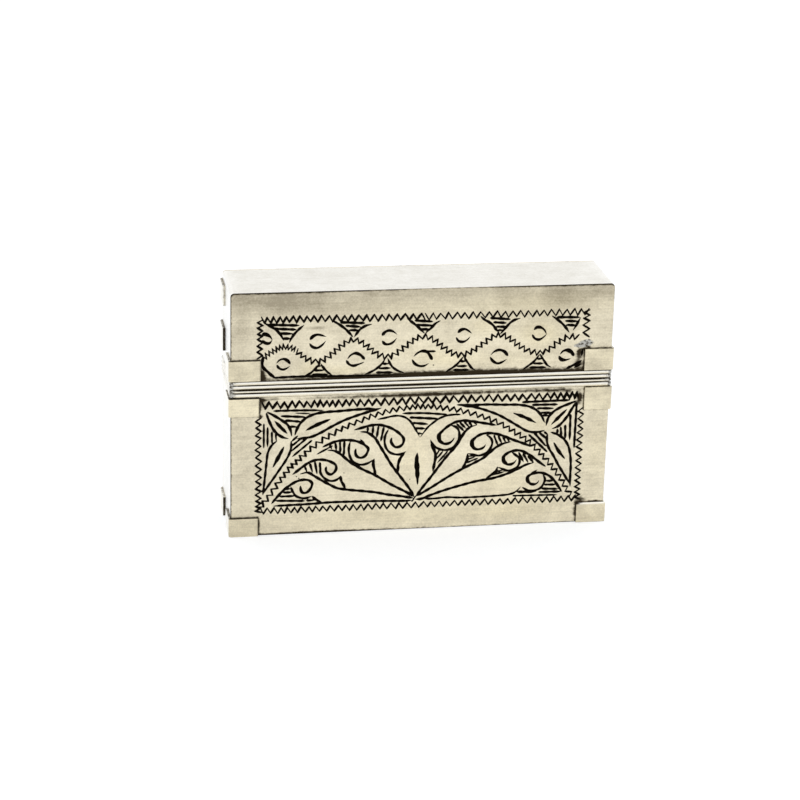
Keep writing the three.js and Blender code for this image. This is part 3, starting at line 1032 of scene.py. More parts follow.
LID_PANEL, LID_FINE_STEP = (-40.8, 39.4, 40.9, 56.0), 0.135
BASE_PANEL, BASE_FINE_STEP = (-40.7, 4.9, 40.6, 34.7), 0.177
LID_SPOTS = {
    # Partly painted shade, in the angle above the moulding and beside the clips; partly smudges.
    "grime": (
        (0, 39.5, 60, 0.95, 0.77),
        (10, 39.6, 32, 1.75, 0.56),
        (38.1, 43.0, 0.8, 2.2, 0.52),
        (37.5, 41.6, 1.3, 0.7, 0.45),
        (37.9, 44.2, 0.8, 1.0, 0.6),
        (36.6, 43.2, 0.9, 0.9, 0.25),
        (-26.0, 52.2, 2.2, 0.5, 0.3),
        (4, 61.1, 17, 0.6, -0.45),
        (38.9, 45.0, 0.7, 0.4, 0.5),
        (40.1, 45.6, 0.7, 0.3, 0.6),
        (-38.3, 41.2, 0.9, 1.6, 0.8),
        (40.0, 46.5, 0.4, 0.3, 0.5),
    ),
    "tarnish": (
        (0, 50, 200, 90, 0.04),
        (4, 47, 34, 6, -0.13),
        (0, 61, 70, 3.2, 0.3),
        (-34, 56.8, 18, 2.6, 0.17),
        (-12, 56.2, 13, 1.5, 0.12),
        (34, 57, 13, 2.6, 0.16),
        (-36, 59.6, 11, 2.6, 0.42),
        (33, 58.8, 4.2, 3.0, 0.32),
        (42, 60, 5, 3.0, 0.2),
        (-43.5, 51, 2.6, 7, 0.22),
        (-20, 57.5, 9, 1.6, 0.12),
        (-25.8, 52.25, 2.4, 0.5, 0.6),
    ),
    "yellowing": (
        (28, 49.3, 5.5, 3.2, 0.6),
        (28, 57, 16, 3, 0.35),
        (14.5, 51.5, 4, 2.5, 0.4),
        (6, 43.5, 7, 2.2, 0.4),
        (-2, 46, 12, 4, 0.15),
        (-27, 42.3, 3, 1.8, 0.5),
        (-19, 41.5, 5, 1.3, 0.45),
        (22, 43, 12, 2.5, 0.25),
        (-5, 56, 24, 2.5, 0.2),
    ),
    "solder": (
        (39.3, 46.4, 1.5, 1.0, 1.0),
        (37.6, 45.8, 1.1, 0.5, 0.8),
        (40.4, 46.8, 0.8, 0.7, 0.5),
    ),
}
BASE_SPOTS = {
    # Partly painted shade, under the moulding, beside the clips and as contact shadow along the bottom;
    # partly smudges.
    "grime": (
        (6, 34.75, 42, 0.5, 0.74),
        (31.5, 34.6, 5, 0.8, 0.35),
        (0, 35.4, 46, 0.4, 0.35),
        (-38.6, 34.2, 0.8, 1.6, 0.6),
        (38.4, 33.2, 0.7, 2.2, 0.6),
        (36.2, 34.2, 1.4, 0.6, 0.3),
        (38.9, 32.5, 0.45, 1.5, 0.6),
        (-1, 34.35, 14, 0.5, 0.3),
        (-39.15, 32.1, 0.35, 1.0, 0.8),
        (-36.6, 34.8, 2.2, 0.5, 0.35),
        (38.6, 35.0, 1.9, 0.8, -0.55),
        (38.2, 31.4, 0.5, 1.2, 0.4),
        (39.9, 6.0, 1.4, 0.9, 0.8),
        (43.9, 5.4, 1.6, 0.3, 0.7),
        (38.7, 3.0, 0.5, 2.2, 0.42),
        (-18.7, 15.35, 0.5, 0.35, 0.58),
        (-17.3, 13.9, 0.6, 0.2, 0.42),
        (-39.3, 2.6, 0.5, 2.6, 0.7),
        (-38.9, 30.6, 0.7, 0.5, 0.7),
        (-26, 0.3, 15, 0.35, 0.7),
    ),
    "tarnish": (
        (-43.5, 18, 3, 14, 0.12),
        (43, 26, 3, 6, 0.1),
        (-38.3, 33.8, 1.2, 1.4, 0.5),
        (0, 20, 200, 90, 0.04),
        (0, 20, 36, 15, -0.14),
        (2, 8, 24, 6, -0.09),
        (0, 2.5, 50, 3.0, -0.04),
    ),
    "yellowing": (
        (-1.5, 21, 4.5, 8, 0.3),
        (0, 4, 36, 2.8, 0.3),
        (22, 3.8, 8, 2.2, 0.25),
        (20, 11, 9, 4, 0.3),
        (28.5, 26, 5, 2.5, 0.4),
        (43.5, 19, 3.5, 9, 0.3),
        (-14, 14, 12, 6, 0.12),
    ),
    "solder": (),
}


# Plates.

EDGE_LINES = np.array([0, 0.015, 0.05, 0.1, 0.16, 0.23, 0.33, 0.48, 0.68, BEND])  # form a soft edge
COARSE_STEP = 1.2  # widest step of a plate's grid
BACK_STEP, BACK_MARGIN = 0.9, 1.0  # the same on the plain backs, inside their margin
CARVE_REACH = 0.6  # how far round a cut its depth is worked out
BEATEN_FADE = 2.0  # over which the unevenness comes in from a plate's edges
SOLDER_RISE = 0.1  # height of a smear of solder
# Painted shade, with some grime, in the angle round the front clips, and how far it reaches.
CLIP_SHADE_AND_GRIME, CLIP_SHADE_REACH = 0.85, 0.3
BACK_GRIME, BACK_GRIME_REACH = 0.3, 0.3
# Strength and reach of the darkening along the fronts' edges. The far edge is the one away from the rim:
# on the lid it is the seam under the top, grimy; on the base it is the bottom, where it is painted
# contact shadow.
EDGE_SHADE_AND_GRIME = {"left": (1.0, 0.24), "right": (0.55, 0.2), "far": (1.0, 0.34)}


def graded_lines(low, high, fine_low, fine_high, fine_step):
    """Grid lines across a plate: close over the engraving, wide outside it, crowded at the edges."""
    fine = np.linspace(fine_low, fine_high, round((fine_high - fine_low) / fine_step) + 1)
    start, finish = low + EDGE_LINES, high - EDGE_LINES[::-1]

    def between(a, b):
        count = max(1, math.ceil((b - a) / COARSE_STEP))
        return np.linspace(a, b, count + 1)[1:-1]

    return np.concatenate(
        [start, between(start[-1], fine[0]), fine, between(fine[-1], finish[0]), finish]
    )


def carve(xs, zs, cuts, fine_step):
    """Depth of the engraving over a grid: half width less distance, for the nearest sample of any cut.

    It is above 0 inside a cut and below 0 outside it, down to the reach.
    """
    depth = np.full((len(xs), len(zs)), -CARVE_REACH)
    at_x, at_z = np.searchsorted(xs, cuts[:, 0]), np.searchsorted(zs, cuts[:, 1])
    span = math.ceil(CARVE_REACH / fine_step)
    for i in range(-span, span + 1):
        for j in range(-span, span + 1):
            column = np.clip(at_x + i, 0, len(xs) - 1)
            row = np.clip(at_z + j, 0, len(zs) - 1)
            away = np.hypot(xs[column] - cuts[:, 0], zs[row] - cuts[:, 1])
            np.maximum.at(depth, (column, row), cuts[:, 2] - away)
    return depth


def inset_from_edge(x, z, low, high):
    """How far a place on a plate lies inside its nearest edge."""
    return np.minimum(np.minimum(x - low[0], high[0] - x), np.minimum(z - low[2], high[2] - z))


def beaten_dip(x, y, z, inset):
    """How far the beaten sheet of a plate dips below its true face, less and less towards its edges."""
    depth = bpy.context.scene.case_sizes.beaten_depth / MM
    places = np.stack([x, np.full_like(x, y), z], axis=-1)
    return depth * beaten(places) * np.clip(inset / BEATEN_FADE, 0, 1)


def plate_shell(part, low, high, facing, xs, zs, sunk, marks):
    """A broad plate: a grid for its outer face, walls round its rim, and one face for its inside.

    The outer face lies at the plane it faces, less what is sunk into it, and is rounded off along its
    edges: within r of an edge it falls by r - sqrt(r^2 - (r - d)^2). The two corners away from the rim
    follow the bends of the band.
    """
    x, z = np.meshgrid(xs, zs, indexing="ij")
    d = inset_from_edge(x, z, low, high)
    r = bpy.context.scene.case_sizes.plate_edge / MM
    fall = r - np.sqrt(r**2 - np.clip(r - d, 0, r) ** 2)
    y_out, y_in = (low[1], high[1]) if facing < 0 else (high[1], low[1])
    y = y_out - facing * (fall + sunk)
    far_edge, inward = (low[2], 1) if part == "base" else (high[2], -1)
    turn_x = np.clip(np.abs(x) - (high[0] - BEND), 0, None)
    turn_z = np.clip(BEND - np.abs(z - far_edge), 0, None)
    pull = np.maximum(turn_x, turn_z) / np.maximum(np.hypot(turn_x, turn_z), 1e-9)
    bends = (turn_x > 0) & (turn_z > 0)
    x = np.where(bends, x - np.sign(x) * turn_x * (1 - pull), x)
    z = np.where(bends, z + inward * turn_z * (1 - pull), z)
    columns, rows = x.shape
    number = np.arange(columns * rows).reshape(columns, rows)
    rim = np.concatenate([number[:, 0], number[-1, 1:], number[-2::-1, -1], number[0, -2:0:-1]])
    face = np.stack([x, y, z], axis=-1).reshape(-1, 3)
    behind = face[rim].copy()
    behind[:, 1] = y_in
    count = len(rim)
    inner = columns * rows + np.arange(count)
    ahead = np.roll(np.arange(count), -1)
    walls = np.column_stack([rim, inner, inner[ahead], rim[ahead]])
    faces = grid_quads(columns, rows, False, False)
    return {
        "points": np.concatenate([face, behind]),
        "quads": np.concatenate([faces, walls]),
        "caps": [inner[::-1]],
        "smooth": np.arange(len(faces) + count) < len(faces),
        "marks": {k: np.concatenate([v.ravel(), v.ravel()[rim]]) for k, v in marks.items()},
    }


def blot(x, z, cx, cz, rx, rz, strength):
    """A soft spot: strength * exp(-(dx/rx)^2 - (dz/rz)^2)."""
    return strength * np.exp(-(((x - cx) / rx) ** 2) - ((z - cz) / rz) ** 2)


def blots(x, z, spots):
    """Soft spots added up."""
    return sum((blot(x, z, *spot) for spot in spots), np.zeros_like(x))


def beside(x, z, low, high):
    """1 at the edge of a clip's box on the plate, fading outside it as exp(-distance / reach)."""
    dx = np.maximum(np.maximum(low[0] - x, x - high[0]), 0)
    dz = np.maximum(np.maximum(low[2] - z, z - high[2]), 0)
    return np.exp(-np.hypot(dx, dz) / CLIP_SHADE_REACH)


def clip_shade_and_grime(part, x, z):
    """Painted shade, with some grime, in the angle round the clips on the front of lid or base."""
    clips = [clip[0] for clip in CLIPS if clip[0].startswith(part) and "_front_" in clip[0]]
    return CLIP_SHADE_AND_GRIME * np.maximum.reduce([beside(x, z, *box_mm(clip)) for clip in clips])


def engraved_front(part, cuts, panel, fine_step, spots):
    """The front plate of lid or base with its engraving cut into it.

    The panel is the stretch that the graver worked, as lowest and highest x and z. Grime and painted
    shade lie along the edges, round the clips and in spots, and a spot of solder stands proud of the
    face.
    """
    sizes = bpy.context.scene.case_sizes
    low, high = box_mm(f"{part}_front_plate")
    xs = graded_lines(low[0], high[0], panel[0], panel[2], fine_step)
    zs = graded_lines(low[2], high[2], panel[1], panel[3], fine_step)
    x, z = np.meshgrid(xs, zs, indexing="ij")
    depth = carve(xs, zs, cuts, fine_step)
    solder = blots(x, z, spots["solder"])
    sunk = beaten_dip(x, low[1], z, inset_from_edge(x, z, low, high))
    sunk = sunk + sizes.cut_slope * np.clip(depth, 0, None) - SOLDER_RISE * solder
    to_far = z - low[2] if part == "base" else high[2] - z
    to_edge = {"left": x - low[0], "right": high[0] - x, "far": to_far}
    # Darkening along the edges and round the clips: grime, with painted shade in the angles and along the
    # base's bottom.
    edges = [amount * np.exp(-to_edge[edge] / reach) for edge, (amount, reach) in EDGE_SHADE_AND_GRIME.items()]
    grime = np.maximum.reduce([clip_shade_and_grime(part, x, z), *edges])
    marks = {
        "cut": depth,
        "grime": np.clip(grime + blots(x, z, spots["grime"]), 0, 1),
        "wear_and_sheen": np.zeros_like(x),
        "tarnish": np.clip(blots(x, z, spots["tarnish"]), -1, 1),
        "yellowing": np.clip(blots(x, z, spots["yellowing"]), 0, 1),
        "solder": np.clip(solder, 0, 1),
    }
    shell = plate_shell(part, low, high, FACES["front"], xs, zs, sunk, marks)
    name, nodes = f"{part}_engraved_front", [f"{part}_front_plate"]
    make_piece(name, shell, part, nodes, engraved_silver())


def plain_back(part):
    """The back plate, plain, with the same soft edges and the beaten sheet's unevenness."""
    low, high = box_mm(f"{part}_back_plate")
    xs, zs = (
        graded_lines(low[k], high[k], low[k] + BACK_MARGIN, high[k] - BACK_MARGIN, BACK_STEP)
        for k in (0, 2)
    )
    x, z = np.meshgrid(xs, zs, indexing="ij")
    inset = inset_from_edge(x, z, low, high)
    marks = {
        "grime": BACK_GRIME * np.exp(-inset / BACK_GRIME_REACH),
        "wear_and_sheen": np.zeros_like(x),
        "tarnish": np.zeros_like(x),
    }
    sunk = beaten_dip(x, high[1], z, inset)
    shell = plate_shell(part, low, high, FACES["back"], xs, zs, sunk, marks)
    make_piece(f"{part}_plain_back", shell, part, [f"{part}_back_plate"], plain_silver())


# Bands, collar, reeds and clips.

TOP_PAINTED_DULL, ENDS_PAINTED_PALE = 0.16, 0.25  # painted light: the top painted duller and the ends paler, for how the light falls on them
TOP_TO_ENDS_FADE = 1.4, 0.2  # how far inside the ends' faces the top's painted dullness begins to give way, and is gone
REED_SOLDER = 1.05, 0.7  # reach of the solder in a reed's mitres, and the stretch over which it fades
MITRE_GRIME, MITRE_GRIME_REACH = 0.35, 0.6
REED_END_DARK_SHARE, CLIP_END_DARK_SHARE = 0.4, 0.6  # grime and painted shade kept on the case's ends, as a share of the front's
END_MARGIN = 0.5  # width of the strip beside the corners where a reed counts as part of the front
GLINT_ROUND = 0.2  # a clip whose upper edge is rounder than this gets a painted glint along it
FOOT_SMUDGE = 39.2, 5.1, 1.5, 0.5, 0.9  # soft spot of grime over one end of the right foot clips


def bent_band(part):
    """The strip that makes both ends and the closed side of lid or base, its ends painted pale as a
    reflection.
    """
    edge = bpy.context.scene.case_sizes.band_edge / MM
    low, high = box_mm(f"{part}_band")
    front_low, front_high = box_mm(f"{part}_front_plate")
    sheet = front_high[1] - front_low[1]
    breadth, bend = high[1] - low[1], BEND - sheet
    section = strip_section(sheet, breadth, (edge, edge), BAND_INNER_EDGE, spacing=1.6, support=0.3)
    x = high[0] - sheet
    rim, far = (high[2], low[2] + sheet) if part == "base" else (low[2], high[2] - sheet)
    corners = [(-x, rim), (-x, far), (x, far), (x, rim)]
    path, normals, _ = rounded_line(corners, [0, bend, bend, 0], closed=False, spacing=2.4)
    normals = away_from_middle(path - [0, (rim + far) / 2], normals)
    shell = carry(section, path, normals, ACROSS_AND_UP, closed=False)
    # Painted light: the top painted duller and the ends paler, for how the light falls on them.
    from_middle = np.abs(shell["points"][:, 0])
    fade = [HALF_WIDTH - inset for inset in TOP_TO_ENDS_FADE]
    shell["marks"]["tarnish"] = np.interp(from_middle, fade, (TOP_PAINTED_DULL, -ENDS_PAINTED_PALE))
    make_piece(f"{part}_bent_band", shell, part, [f"{part}_band"], band_silver())


def slip_collar():
    """The inner sleeve: a strip carried round the inside of the base."""
    low, high = box_mm("slip_collar")
    edges = (COLLAR_EDGE, COLLAR_EDGE)
    section = strip_section(COLLAR_SHEET, high[2] - low[2], edges, COLLAR_INNER_EDGE, spacing=2.0)
    corners = rectangle(high[0] - COLLAR_SHEET, high[1] - COLLAR_SHEET)
    path, normals, _ = rounded_line(corners, [COLLAR_BEND - COLLAR_SHEET] * 4, closed=True, spacing=3.0)
    shell = carry(section, path, normals, IN_PLAN, closed=True, rise=(low[2] + high[2]) / 2)
    make_piece("rubbed_collar", shell, "base", ["slip_collar"], collar_silver())


def reed(node, black_below, black_above):
    """One half-round wire round a rim, soldered and grimy in its corners, its grime and painted shade
    thinned on the ends.
    """
    turn = bpy.context.scene.case_sizes.reed_corner / MM
    low, high = box_mm(node)
    corners = rectangle(HALF_WIDTH, HALF_DEPTH)
    path, normals, _ = rounded_line(corners, [turn] * 4, closed=True, spacing=4.0, support=0.4)
    section = reed_section(high[0] - HALF_WIDTH, high[2] - low[2], black_below, black_above)
    shell = carry(section, path, normals, IN_PLAN, closed=True, rise=(low[2] + high[2]) / 2)
    marks, (x, y, _) = shell["marks"], np.abs(shell["points"].T)
    to_corner = np.hypot(x - HALF_WIDTH, y - HALF_DEPTH)
    reach, fade = REED_SOLDER
    marks["solder"] = np.clip((reach - to_corner) / fade, 0, 1)
    marks["grime"] = np.clip(marks["grime"] - marks["solder"], 0, 1)
    marks["grime"] += MITRE_GRIME * np.exp(-to_corner / MITRE_GRIME_REACH)
    marks["grime"] *= np.where(y < HALF_DEPTH - END_MARGIN, REED_END_DARK_SHARE, 1)
    make_piece(f"{node}_wire", shell, node.split("_")[0], [node], reed_silver())


def corner_clip(node, upper, inner, lower, upper_round, dulled):
    """One clip of square-cut sheet bent round an upright edge.

    Grime and painted shade lie along its cut edges, the face of its leg along the end is painted pale
    as a reflection of the bright light there, and a round upper edge gets a painted glint.
    """
    edge = bpy.context.scene.case_sizes.clip_edge / MM
    part, face, side = (node.split("_")[k] for k in (0, 3, 4))
    low, high = box_mm(node)
    sheet = max(abs(low[0]), abs(high[0])) - HALF_WIDTH
    inner_x = SIDES[side] * min(abs(low[0]), abs(high[0]))
    inner_y = FACES[face] * min(abs(low[1]), abs(high[1]))
    corner_x, corner_y = SIDES[side] * HALF_WIDTH, FACES[face] * HALF_DEPTH
    section = strip_section(sheet, high[2] - low[2], (edge, upper_round), edge, spacing=1.2)
    corners = [(inner_x, corner_y), (corner_x, corner_y), (corner_x, inner_y)]
    path, normals, _ = rounded_line(corners, [0, CLIP_BEND, 0], closed=False, spacing=1.2, support=0.25)
    normals = away_from_middle(path, normals)
    shell = carry(section, path, normals, IN_PLAN, False, edge, (low[2] + high[2]) / 2)
    marks, (x, y, z) = shell["marks"], shell["points"].T
    at_end = np.abs(y) < HALF_DEPTH
    # Grime and painted shade along the cut edges, and a smudge of grime by the right foot clips.
    shaded_and_soiled = (
        upper * near_edge(high[2] - z),
        inner * near_edge(np.minimum(np.abs(x - inner_x), np.abs(y - inner_y))),
        lower * near_edge(z - low[2]),
        blot(x, z, *FOOT_SMUDGE),
    )
    marks["grime"] = np.maximum.reduce(shaded_and_soiled)
    if face == "front":
        marks["grime"] *= np.where(at_end, CLIP_END_DARK_SHARE, 1)
    # Painted light: the leg along the end is painted pale as a reflection, and a round upper edge gets a
    # glint.
    on_end = np.clip((np.abs(x) - HALF_WIDTH) / (0.6 * sheet), 0, 1)
    painted_glint = near_edge((high[2] - z) / 3) if upper_round > GLINT_ROUND else 0
    marks["wear_and_sheen"] = np.maximum(painted_glint, np.where(at_end, on_end, 0))
    marks["tarnish"] = np.full(len(z), dulled)
    make_piece(f"{node}_sheet", shell, part, [node], clip_silver())


# Materials.


def place_node(tree, kind, settings=(), **inputs):
    """Adds a node, sets its settings, and links or sets its inputs, named with _ for a space."""
    node = tree.nodes.new(kind)
    for name, value in dict(settings).items():
        setattr(node, name, value)
    for name, value in inputs.items():
        socket = node.inputs[int(name[1:]) if name[1:].isdigit() else name.replace("_", " ")]
        if isinstance(value, bpy.types.NodeSocket):
            tree.links.new(value, socket)
        else:
            socket.default_value = value
    return node


def new_group(name, inputs, outputs):
    """A shader node group whose sockets have a name, a kind and a default. Returns its tree and ends."""
    tree = bpy.data.node_groups.new(name, "ShaderNodeTree")
    for socket, kind, default in inputs:
        made = tree.interface.new_socket(socket, in_out="INPUT", socket_type=f"NodeSocket{kind}")
        made.default_value = default
    for socket, kind in outputs:
        tree.interface.new_socket(socket, in_out="OUTPUT", socket_type=f"NodeSocket{kind}")
    return tree, tree.nodes.new("NodeGroupInput"), tree.nodes.new("NodeGroupOutput")


def math_node(tree, operation, a, b, clamp=False):
    """What comes of two values, kept from 0 to 1 if asked."""
    settings = {"operation": operation, "use_clamp": clamp}
    return place_node(tree, "ShaderNodeMath", settings, _0=a, _1=b).outputs[0]


def mix_colour(tree, share, a, b, blend="MIX"):
    """The first colour with a share of the second laid over it."""
    settings = {"data_type": "RGBA", "blend_type": blend}
    return place_node(tree, "ShaderNodeMix", settings, _0=share, _6=a, _7=b).outputs[2]


def spread(tree, value, low, high, to_low=0.0, to_high=1.0):
    """Carries a value smoothly from one range into another."""
    node = place_node(
        tree,
        "ShaderNodeMapRange",
        {"interpolation_type": "SMOOTHSTEP"},
        _0=value,
        _1=low,
        _2=high,
        _3=to_low,
        _4=to_high,
    )
    return node.outputs[0]


def object_noise(tree, scale, detail, roughness=0.55, distortion=0.0):
    """Noise on Object coordinates, with a scale for each axis in features per metre."""
    place = tree.nodes.new("ShaderNodeTexCoord").outputs["Object"]
    turned = place_node(tree, "ShaderNodeMapping", _0=place, _3=scale).outputs[0]
    noise = place_node(
        tree,
        "ShaderNodeTexNoise",
        Vector=turned,
        Scale=1.0,
        Detail=detail,
        Roughness=roughness,
        Distortion=distortion,
    )
    return noise.outputs["Fac"]


def ageing_group():
    """Silver that has dulled in clouds, with a fine grain and streaks along the polisher's lines."""
    tree, given, put = new_group(
        "Dulled silver",
        (
            ("Bright", "Color", (0.86, 0.79, 0.6, 1)),
            ("Dull", "Color", (0.4, 0.355, 0.26, 1)),
            ("Tarnish", "Float", 0.0),
            ("Cloudiness", "Float", 0.5),
            ("Lines", "Float", 0.5),
        ),
        (("Colour", "Color"), ("Dullness", "Float")),
    )
    clouds = spread(tree, object_noise(tree, (110, 110, 150), 6, 0.62, 0.5), 0.3, 0.72)
    mottle = object_noise(tree, (420, 420, 620), 3, 0.6)
    grain = object_noise(tree, (2300, 2300, 2300), 3, 0.7)
    share = math_node(tree, "MULTIPLY", clouds, given.outputs["Cloudiness"])
    for value, weight in ((mottle, 0.36), (grain, 0.75), (given.outputs["Lines"], 0.42)):
        swing = math_node(tree, "MULTIPLY", math_node(tree, "SUBTRACT", value, 0.36), weight)
        share = math_node(tree, "ADD", share, swing)
    share = math_node(tree, "ADD", share, given.outputs["Tarnish"], True)
    colour = mix_colour(tree, share, given.outputs["Bright"], given.outputs["Dull"])
    tree.links.new(colour, put.inputs["Colour"])
    tree.links.new(share, put.inputs["Dullness"])
    return tree


def rubbing_group():
    """Fine lines of polishing that run one way, with scratches across them and small pits."""
    tree, given, put = new_group(
        "Rubbed lines",
        (("Lines along X", "Float", 1.0),),
        (("Height", "Float"), ("Lines", "Float")),
    )
    along_x = object_noise(tree, (90, 2600, 2600), 4, 0.65)
    upright = object_noise(tree, (2600, 2600, 70), 4, 0.65)
    lines = place_node(
        tree, "ShaderNodeMix", _0=given.outputs["Lines along X"], _2=upright, _3=along_x
    ).outputs[0]
    across = spread(tree, object_noise(tree, (900, 700, 160), 2, 0.5, 1.2), 0.66, 0.7)
    pits = spread(tree, object_noise(tree, (1500, 1500, 1500), 2, 0.5), 0.72, 0.8)
    height = math_node(tree, "SUBTRACT", lines, math_node(tree, "MULTIPLY", across, 0.35))
    height = math_node(tree, "SUBTRACT", height, math_node(tree, "MULTIPLY", pits, 0.8))
    tree.links.new(height, put.inputs["Height"])
    tree.links.new(lines, put.inputs["Lines"])
    return tree


def grime_and_shade_group():
    """Brown-black grime and painted shade, laid where the mesh says so, ragged at its edge."""
    tree, given, put = new_group(
        "Settled grime",
        (
            ("Colour", "Color", (0.7, 0.65, 0.5, 1)),
            ("Grime colour", "Color", (0.05, 0.035, 0.02, 1)),
            ("Amount", "Float", 0.0),
        ),
        (("Colour", "Color"), ("Mask", "Float")),
    )
    patchy = object_noise(tree, (700, 700, 1100), 4, 0.65, 0.3)
    lifted = math_node(tree, "ADD", given.outputs["Amount"], math_node(tree, "SUBTRACT", patchy, 0.5))
    mask = spread(tree, lifted, 0.22, 0.85)
    mask = math_node(tree, "MULTIPLY", mask, spread(tree, given.outputs["Amount"], 0.02, 0.2))
    colour = mix_colour(tree, mask, given.outputs["Colour"], given.outputs["Grime colour"])
    tree.links.new(colour, put.inputs["Colour"])
    tree.links.new(mask, put.inputs["Mask"])
    return tree


GROUPS = {}  # the shared groups, each under the function that makes it


def group_node(tree, maker, **inputs):
    """Places a shared group, made at its first use."""
    if maker not in GROUPS:
        GROUPS[maker] = maker()
    return place_node(tree, "ShaderNodeGroup", {"node_tree": GROUPS[maker]}, **inputs)


def mark_of(tree, name):
    """The value that the mesh carries under a name."""
    return place_node(tree, "ShaderNodeAttribute", {"attribute_name": name}).outputs["Fac"]


def opaque(colour):
    """A colour with an alpha of 1."""
    return (*colour, 1)


def blank_material(name):
    """A new material and its emptied node tree."""
    material = bpy.data.materials.new(name)
    material.use_nodes = True
    material.node_tree.nodes.clear()
    return material, material.node_tree


WEAR_AND_SHEEN_SHARE = 0.85  # of the pale colour on worn edges, painted highlights and the clips' pale painted ends
RUBBED_DEPTH = 0.02 * MM
CUT_EDGE = -0.05, 0.04  # depth of a cut at which the black begins, and is full
# How much rougher dullness, polishing lines, and grime with painted shade or black make the metal.
DULL_ROUGHNESS, LINE_ROUGHNESS, SHADE_AND_GRIME_ROUGHNESS = 0.12, 0.16, 0.3


def soldered(tree, colour):
    """A colour with ragged, pitted smears of solder over it where the mesh says so."""
    finish = bpy.context.scene.case_finish
    ragged = math_node(tree, "MULTIPLY", object_noise(tree, (1300, 1300, 1700), 4, 0.7, 0.6), 2.0)
    smear = spread(tree, math_node(tree, "MULTIPLY", mark_of(tree, "solder"), ragged), 0.3, 0.6)
    pitted = spread(tree, object_noise(tree, (1500, 1500, 1500), 3, 0.7), 0.46, 0.6, 0.0, 0.92)
    lump = mix_colour(tree, pitted, opaque(finish.solder), opaque(finish.grime))
    return mix_colour(tree, smear, colour, lump)


def silver(name, bright, dull, roughness, cloudiness, lines_along_x=1.0, engraved=False):
    """Aged silver-coloured alloy: dulled in clouds, rubbed in lines, worn and painted with highlights on
    edges, grimy and painted with shade in angles.
    """
    if name in bpy.data.materials:
        return bpy.data.materials[name]
    finish = bpy.context.scene.case_finish
    material, tree = blank_material(name)
    rubbed = group_node(tree, rubbing_group, Lines_along_X=lines_along_x)
    aged = group_node(
        tree,
        ageing_group,
        Bright=opaque(bright),
        Dull=opaque(dull),
        Tarnish=mark_of(tree, "tarnish"),
        Cloudiness=cloudiness,
        Lines=rubbed.outputs["Lines"],
    )
    yellow = mark_of(tree, "yellowing")
    colour = mix_colour(tree, yellow, aged.outputs["Colour"], opaque(finish.yellowed), "MULTIPLY")
    # Worn edges take the pale colour, and so do the painted highlights, the glint and the pale ends.
    worn_and_sheen = math_node(tree, "MULTIPLY", mark_of(tree, "wear_and_sheen"), WEAR_AND_SHEEN_SHARE)
    colour = mix_colour(tree, worn_and_sheen, colour, opaque(finish.worn_and_sheen))
    # Grime and painted shade in angles, grooves, seams and along edges.
    grime = group_node(
        tree,
        grime_and_shade_group,
        Colour=soldered(tree, colour),
        Grime_colour=opaque(finish.grime),
        Amount=mark_of(tree, "grime"),
    )
    colour, covered = grime.outputs["Colour"], grime.outputs["Mask"]
    if engraved:
        black = spread(tree, mark_of(tree, "cut"), *CUT_EDGE)
        colour = mix_colour(tree, black, colour, opaque(finish.blacking))
        covered = math_node(tree, "MAXIMUM", covered, black)
    dulled = math_node(tree, "MULTIPLY", aged.outputs["Dullness"], DULL_ROUGHNESS)
    lined = math_node(tree, "MULTIPLY", rubbed.outputs["Lines"], LINE_ROUGHNESS)
    rough = math_node(tree, "ADD", math_node(tree, "ADD", dulled, lined), roughness)
    rough = math_node(tree, "ADD", rough, math_node(tree, "MULTIPLY", covered, SHADE_AND_GRIME_ROUGHNESS), True)
    height = rubbed.outputs["Height"]
    bump = place_node(tree, "ShaderNodeBump", Strength=0.35, Distance=RUBBED_DEPTH, Height=height)
    surface = place_node(
        tree,
        "ShaderNodeBsdfPrincipled",
        Base_Color=colour,
        Metallic=1.0,
        Roughness=rough,
        Normal=bump.outputs[0],
    )
    place_node(tree, "ShaderNodeOutputMaterial", Surface=surface.outputs[0])
    return material


def engraved_silver():
    """The fronts: satin, with black in the cuts."""
    finish = bpy.context.scene.case_finish
    return silver("engraved_silver", finish.silver, finish.dulled, 0.26, 0.26, engraved=True)


def plain_silver():
    """The backs: the same satin, evenly dulled."""
    finish = bpy.context.scene.case_finish
    return silver("plain_silver", finish.silver, finish.dulled, 0.26, 0.15)


def band_silver():
    """The ends, top and bottom: pale from handling, and painted paler as a reflection of the light."""
    finish = bpy.context.scene.case_finish
    return silver("band_silver", finish.handled_and_sheen, finish.hazed, 0.22, 0.18)


def reed_silver():
    """The reeds: brighter and smoother than the sheet."""
    finish = bpy.context.scene.case_finish
    return silver("reed_silver", finish.silver, finish.dulled, 0.14, 0.2)


def clip_silver():
    """The clips: a yellower alloy, cloudier than the sheet."""
    finish = bpy.context.scene.case_finish
    return silver("clip_silver", finish.clip, finish.dulled, 0.24, 0.45)


def collar_silver():
    """The collar: cloudy, and rubbed upright by the lid."""
    finish = bpy.context.scene.case_finish
    return silver("collar_silver", finish.silver, finish.dulled, 0.28, 0.7, lines_along_x=0.0)


# Stage, in metres.

FLOOR_REACH, FLOOR_LINES = 3.0, 13
FLOOR_LIFT = 0.475  # what brings the lit floor up to white where it is seen
BACK_SOFTBOX = {"place": (0.12, 0.75, 0.42), "width": 1.2, "depth": 0.6}
TOP_SOFTBOX = {"place": (0.1, -0.15, 0.8), "width": 0.7, "depth": 0.5}
LAMP_AIM = (0, 0, 0.03)  # the middle of the case
SENSOR_WIDTH = 36.0  # in millimetres, as the lens is
WHITE = (1, 1, 1, 1)


def seen_or_mirrored(tree):
    """1 for rays from the camera and for mirrored or refracted ones, 0 for light."""
    path = tree.nodes.new("ShaderNodeLightPath")
    seen = math_node(tree, "MAXIMUM", path.outputs["Is Camera Ray"], path.outputs["Is Glossy Ray"])
    return math_node(tree, "MAXIMUM", seen, path.outputs["Is Transmission Ray"])


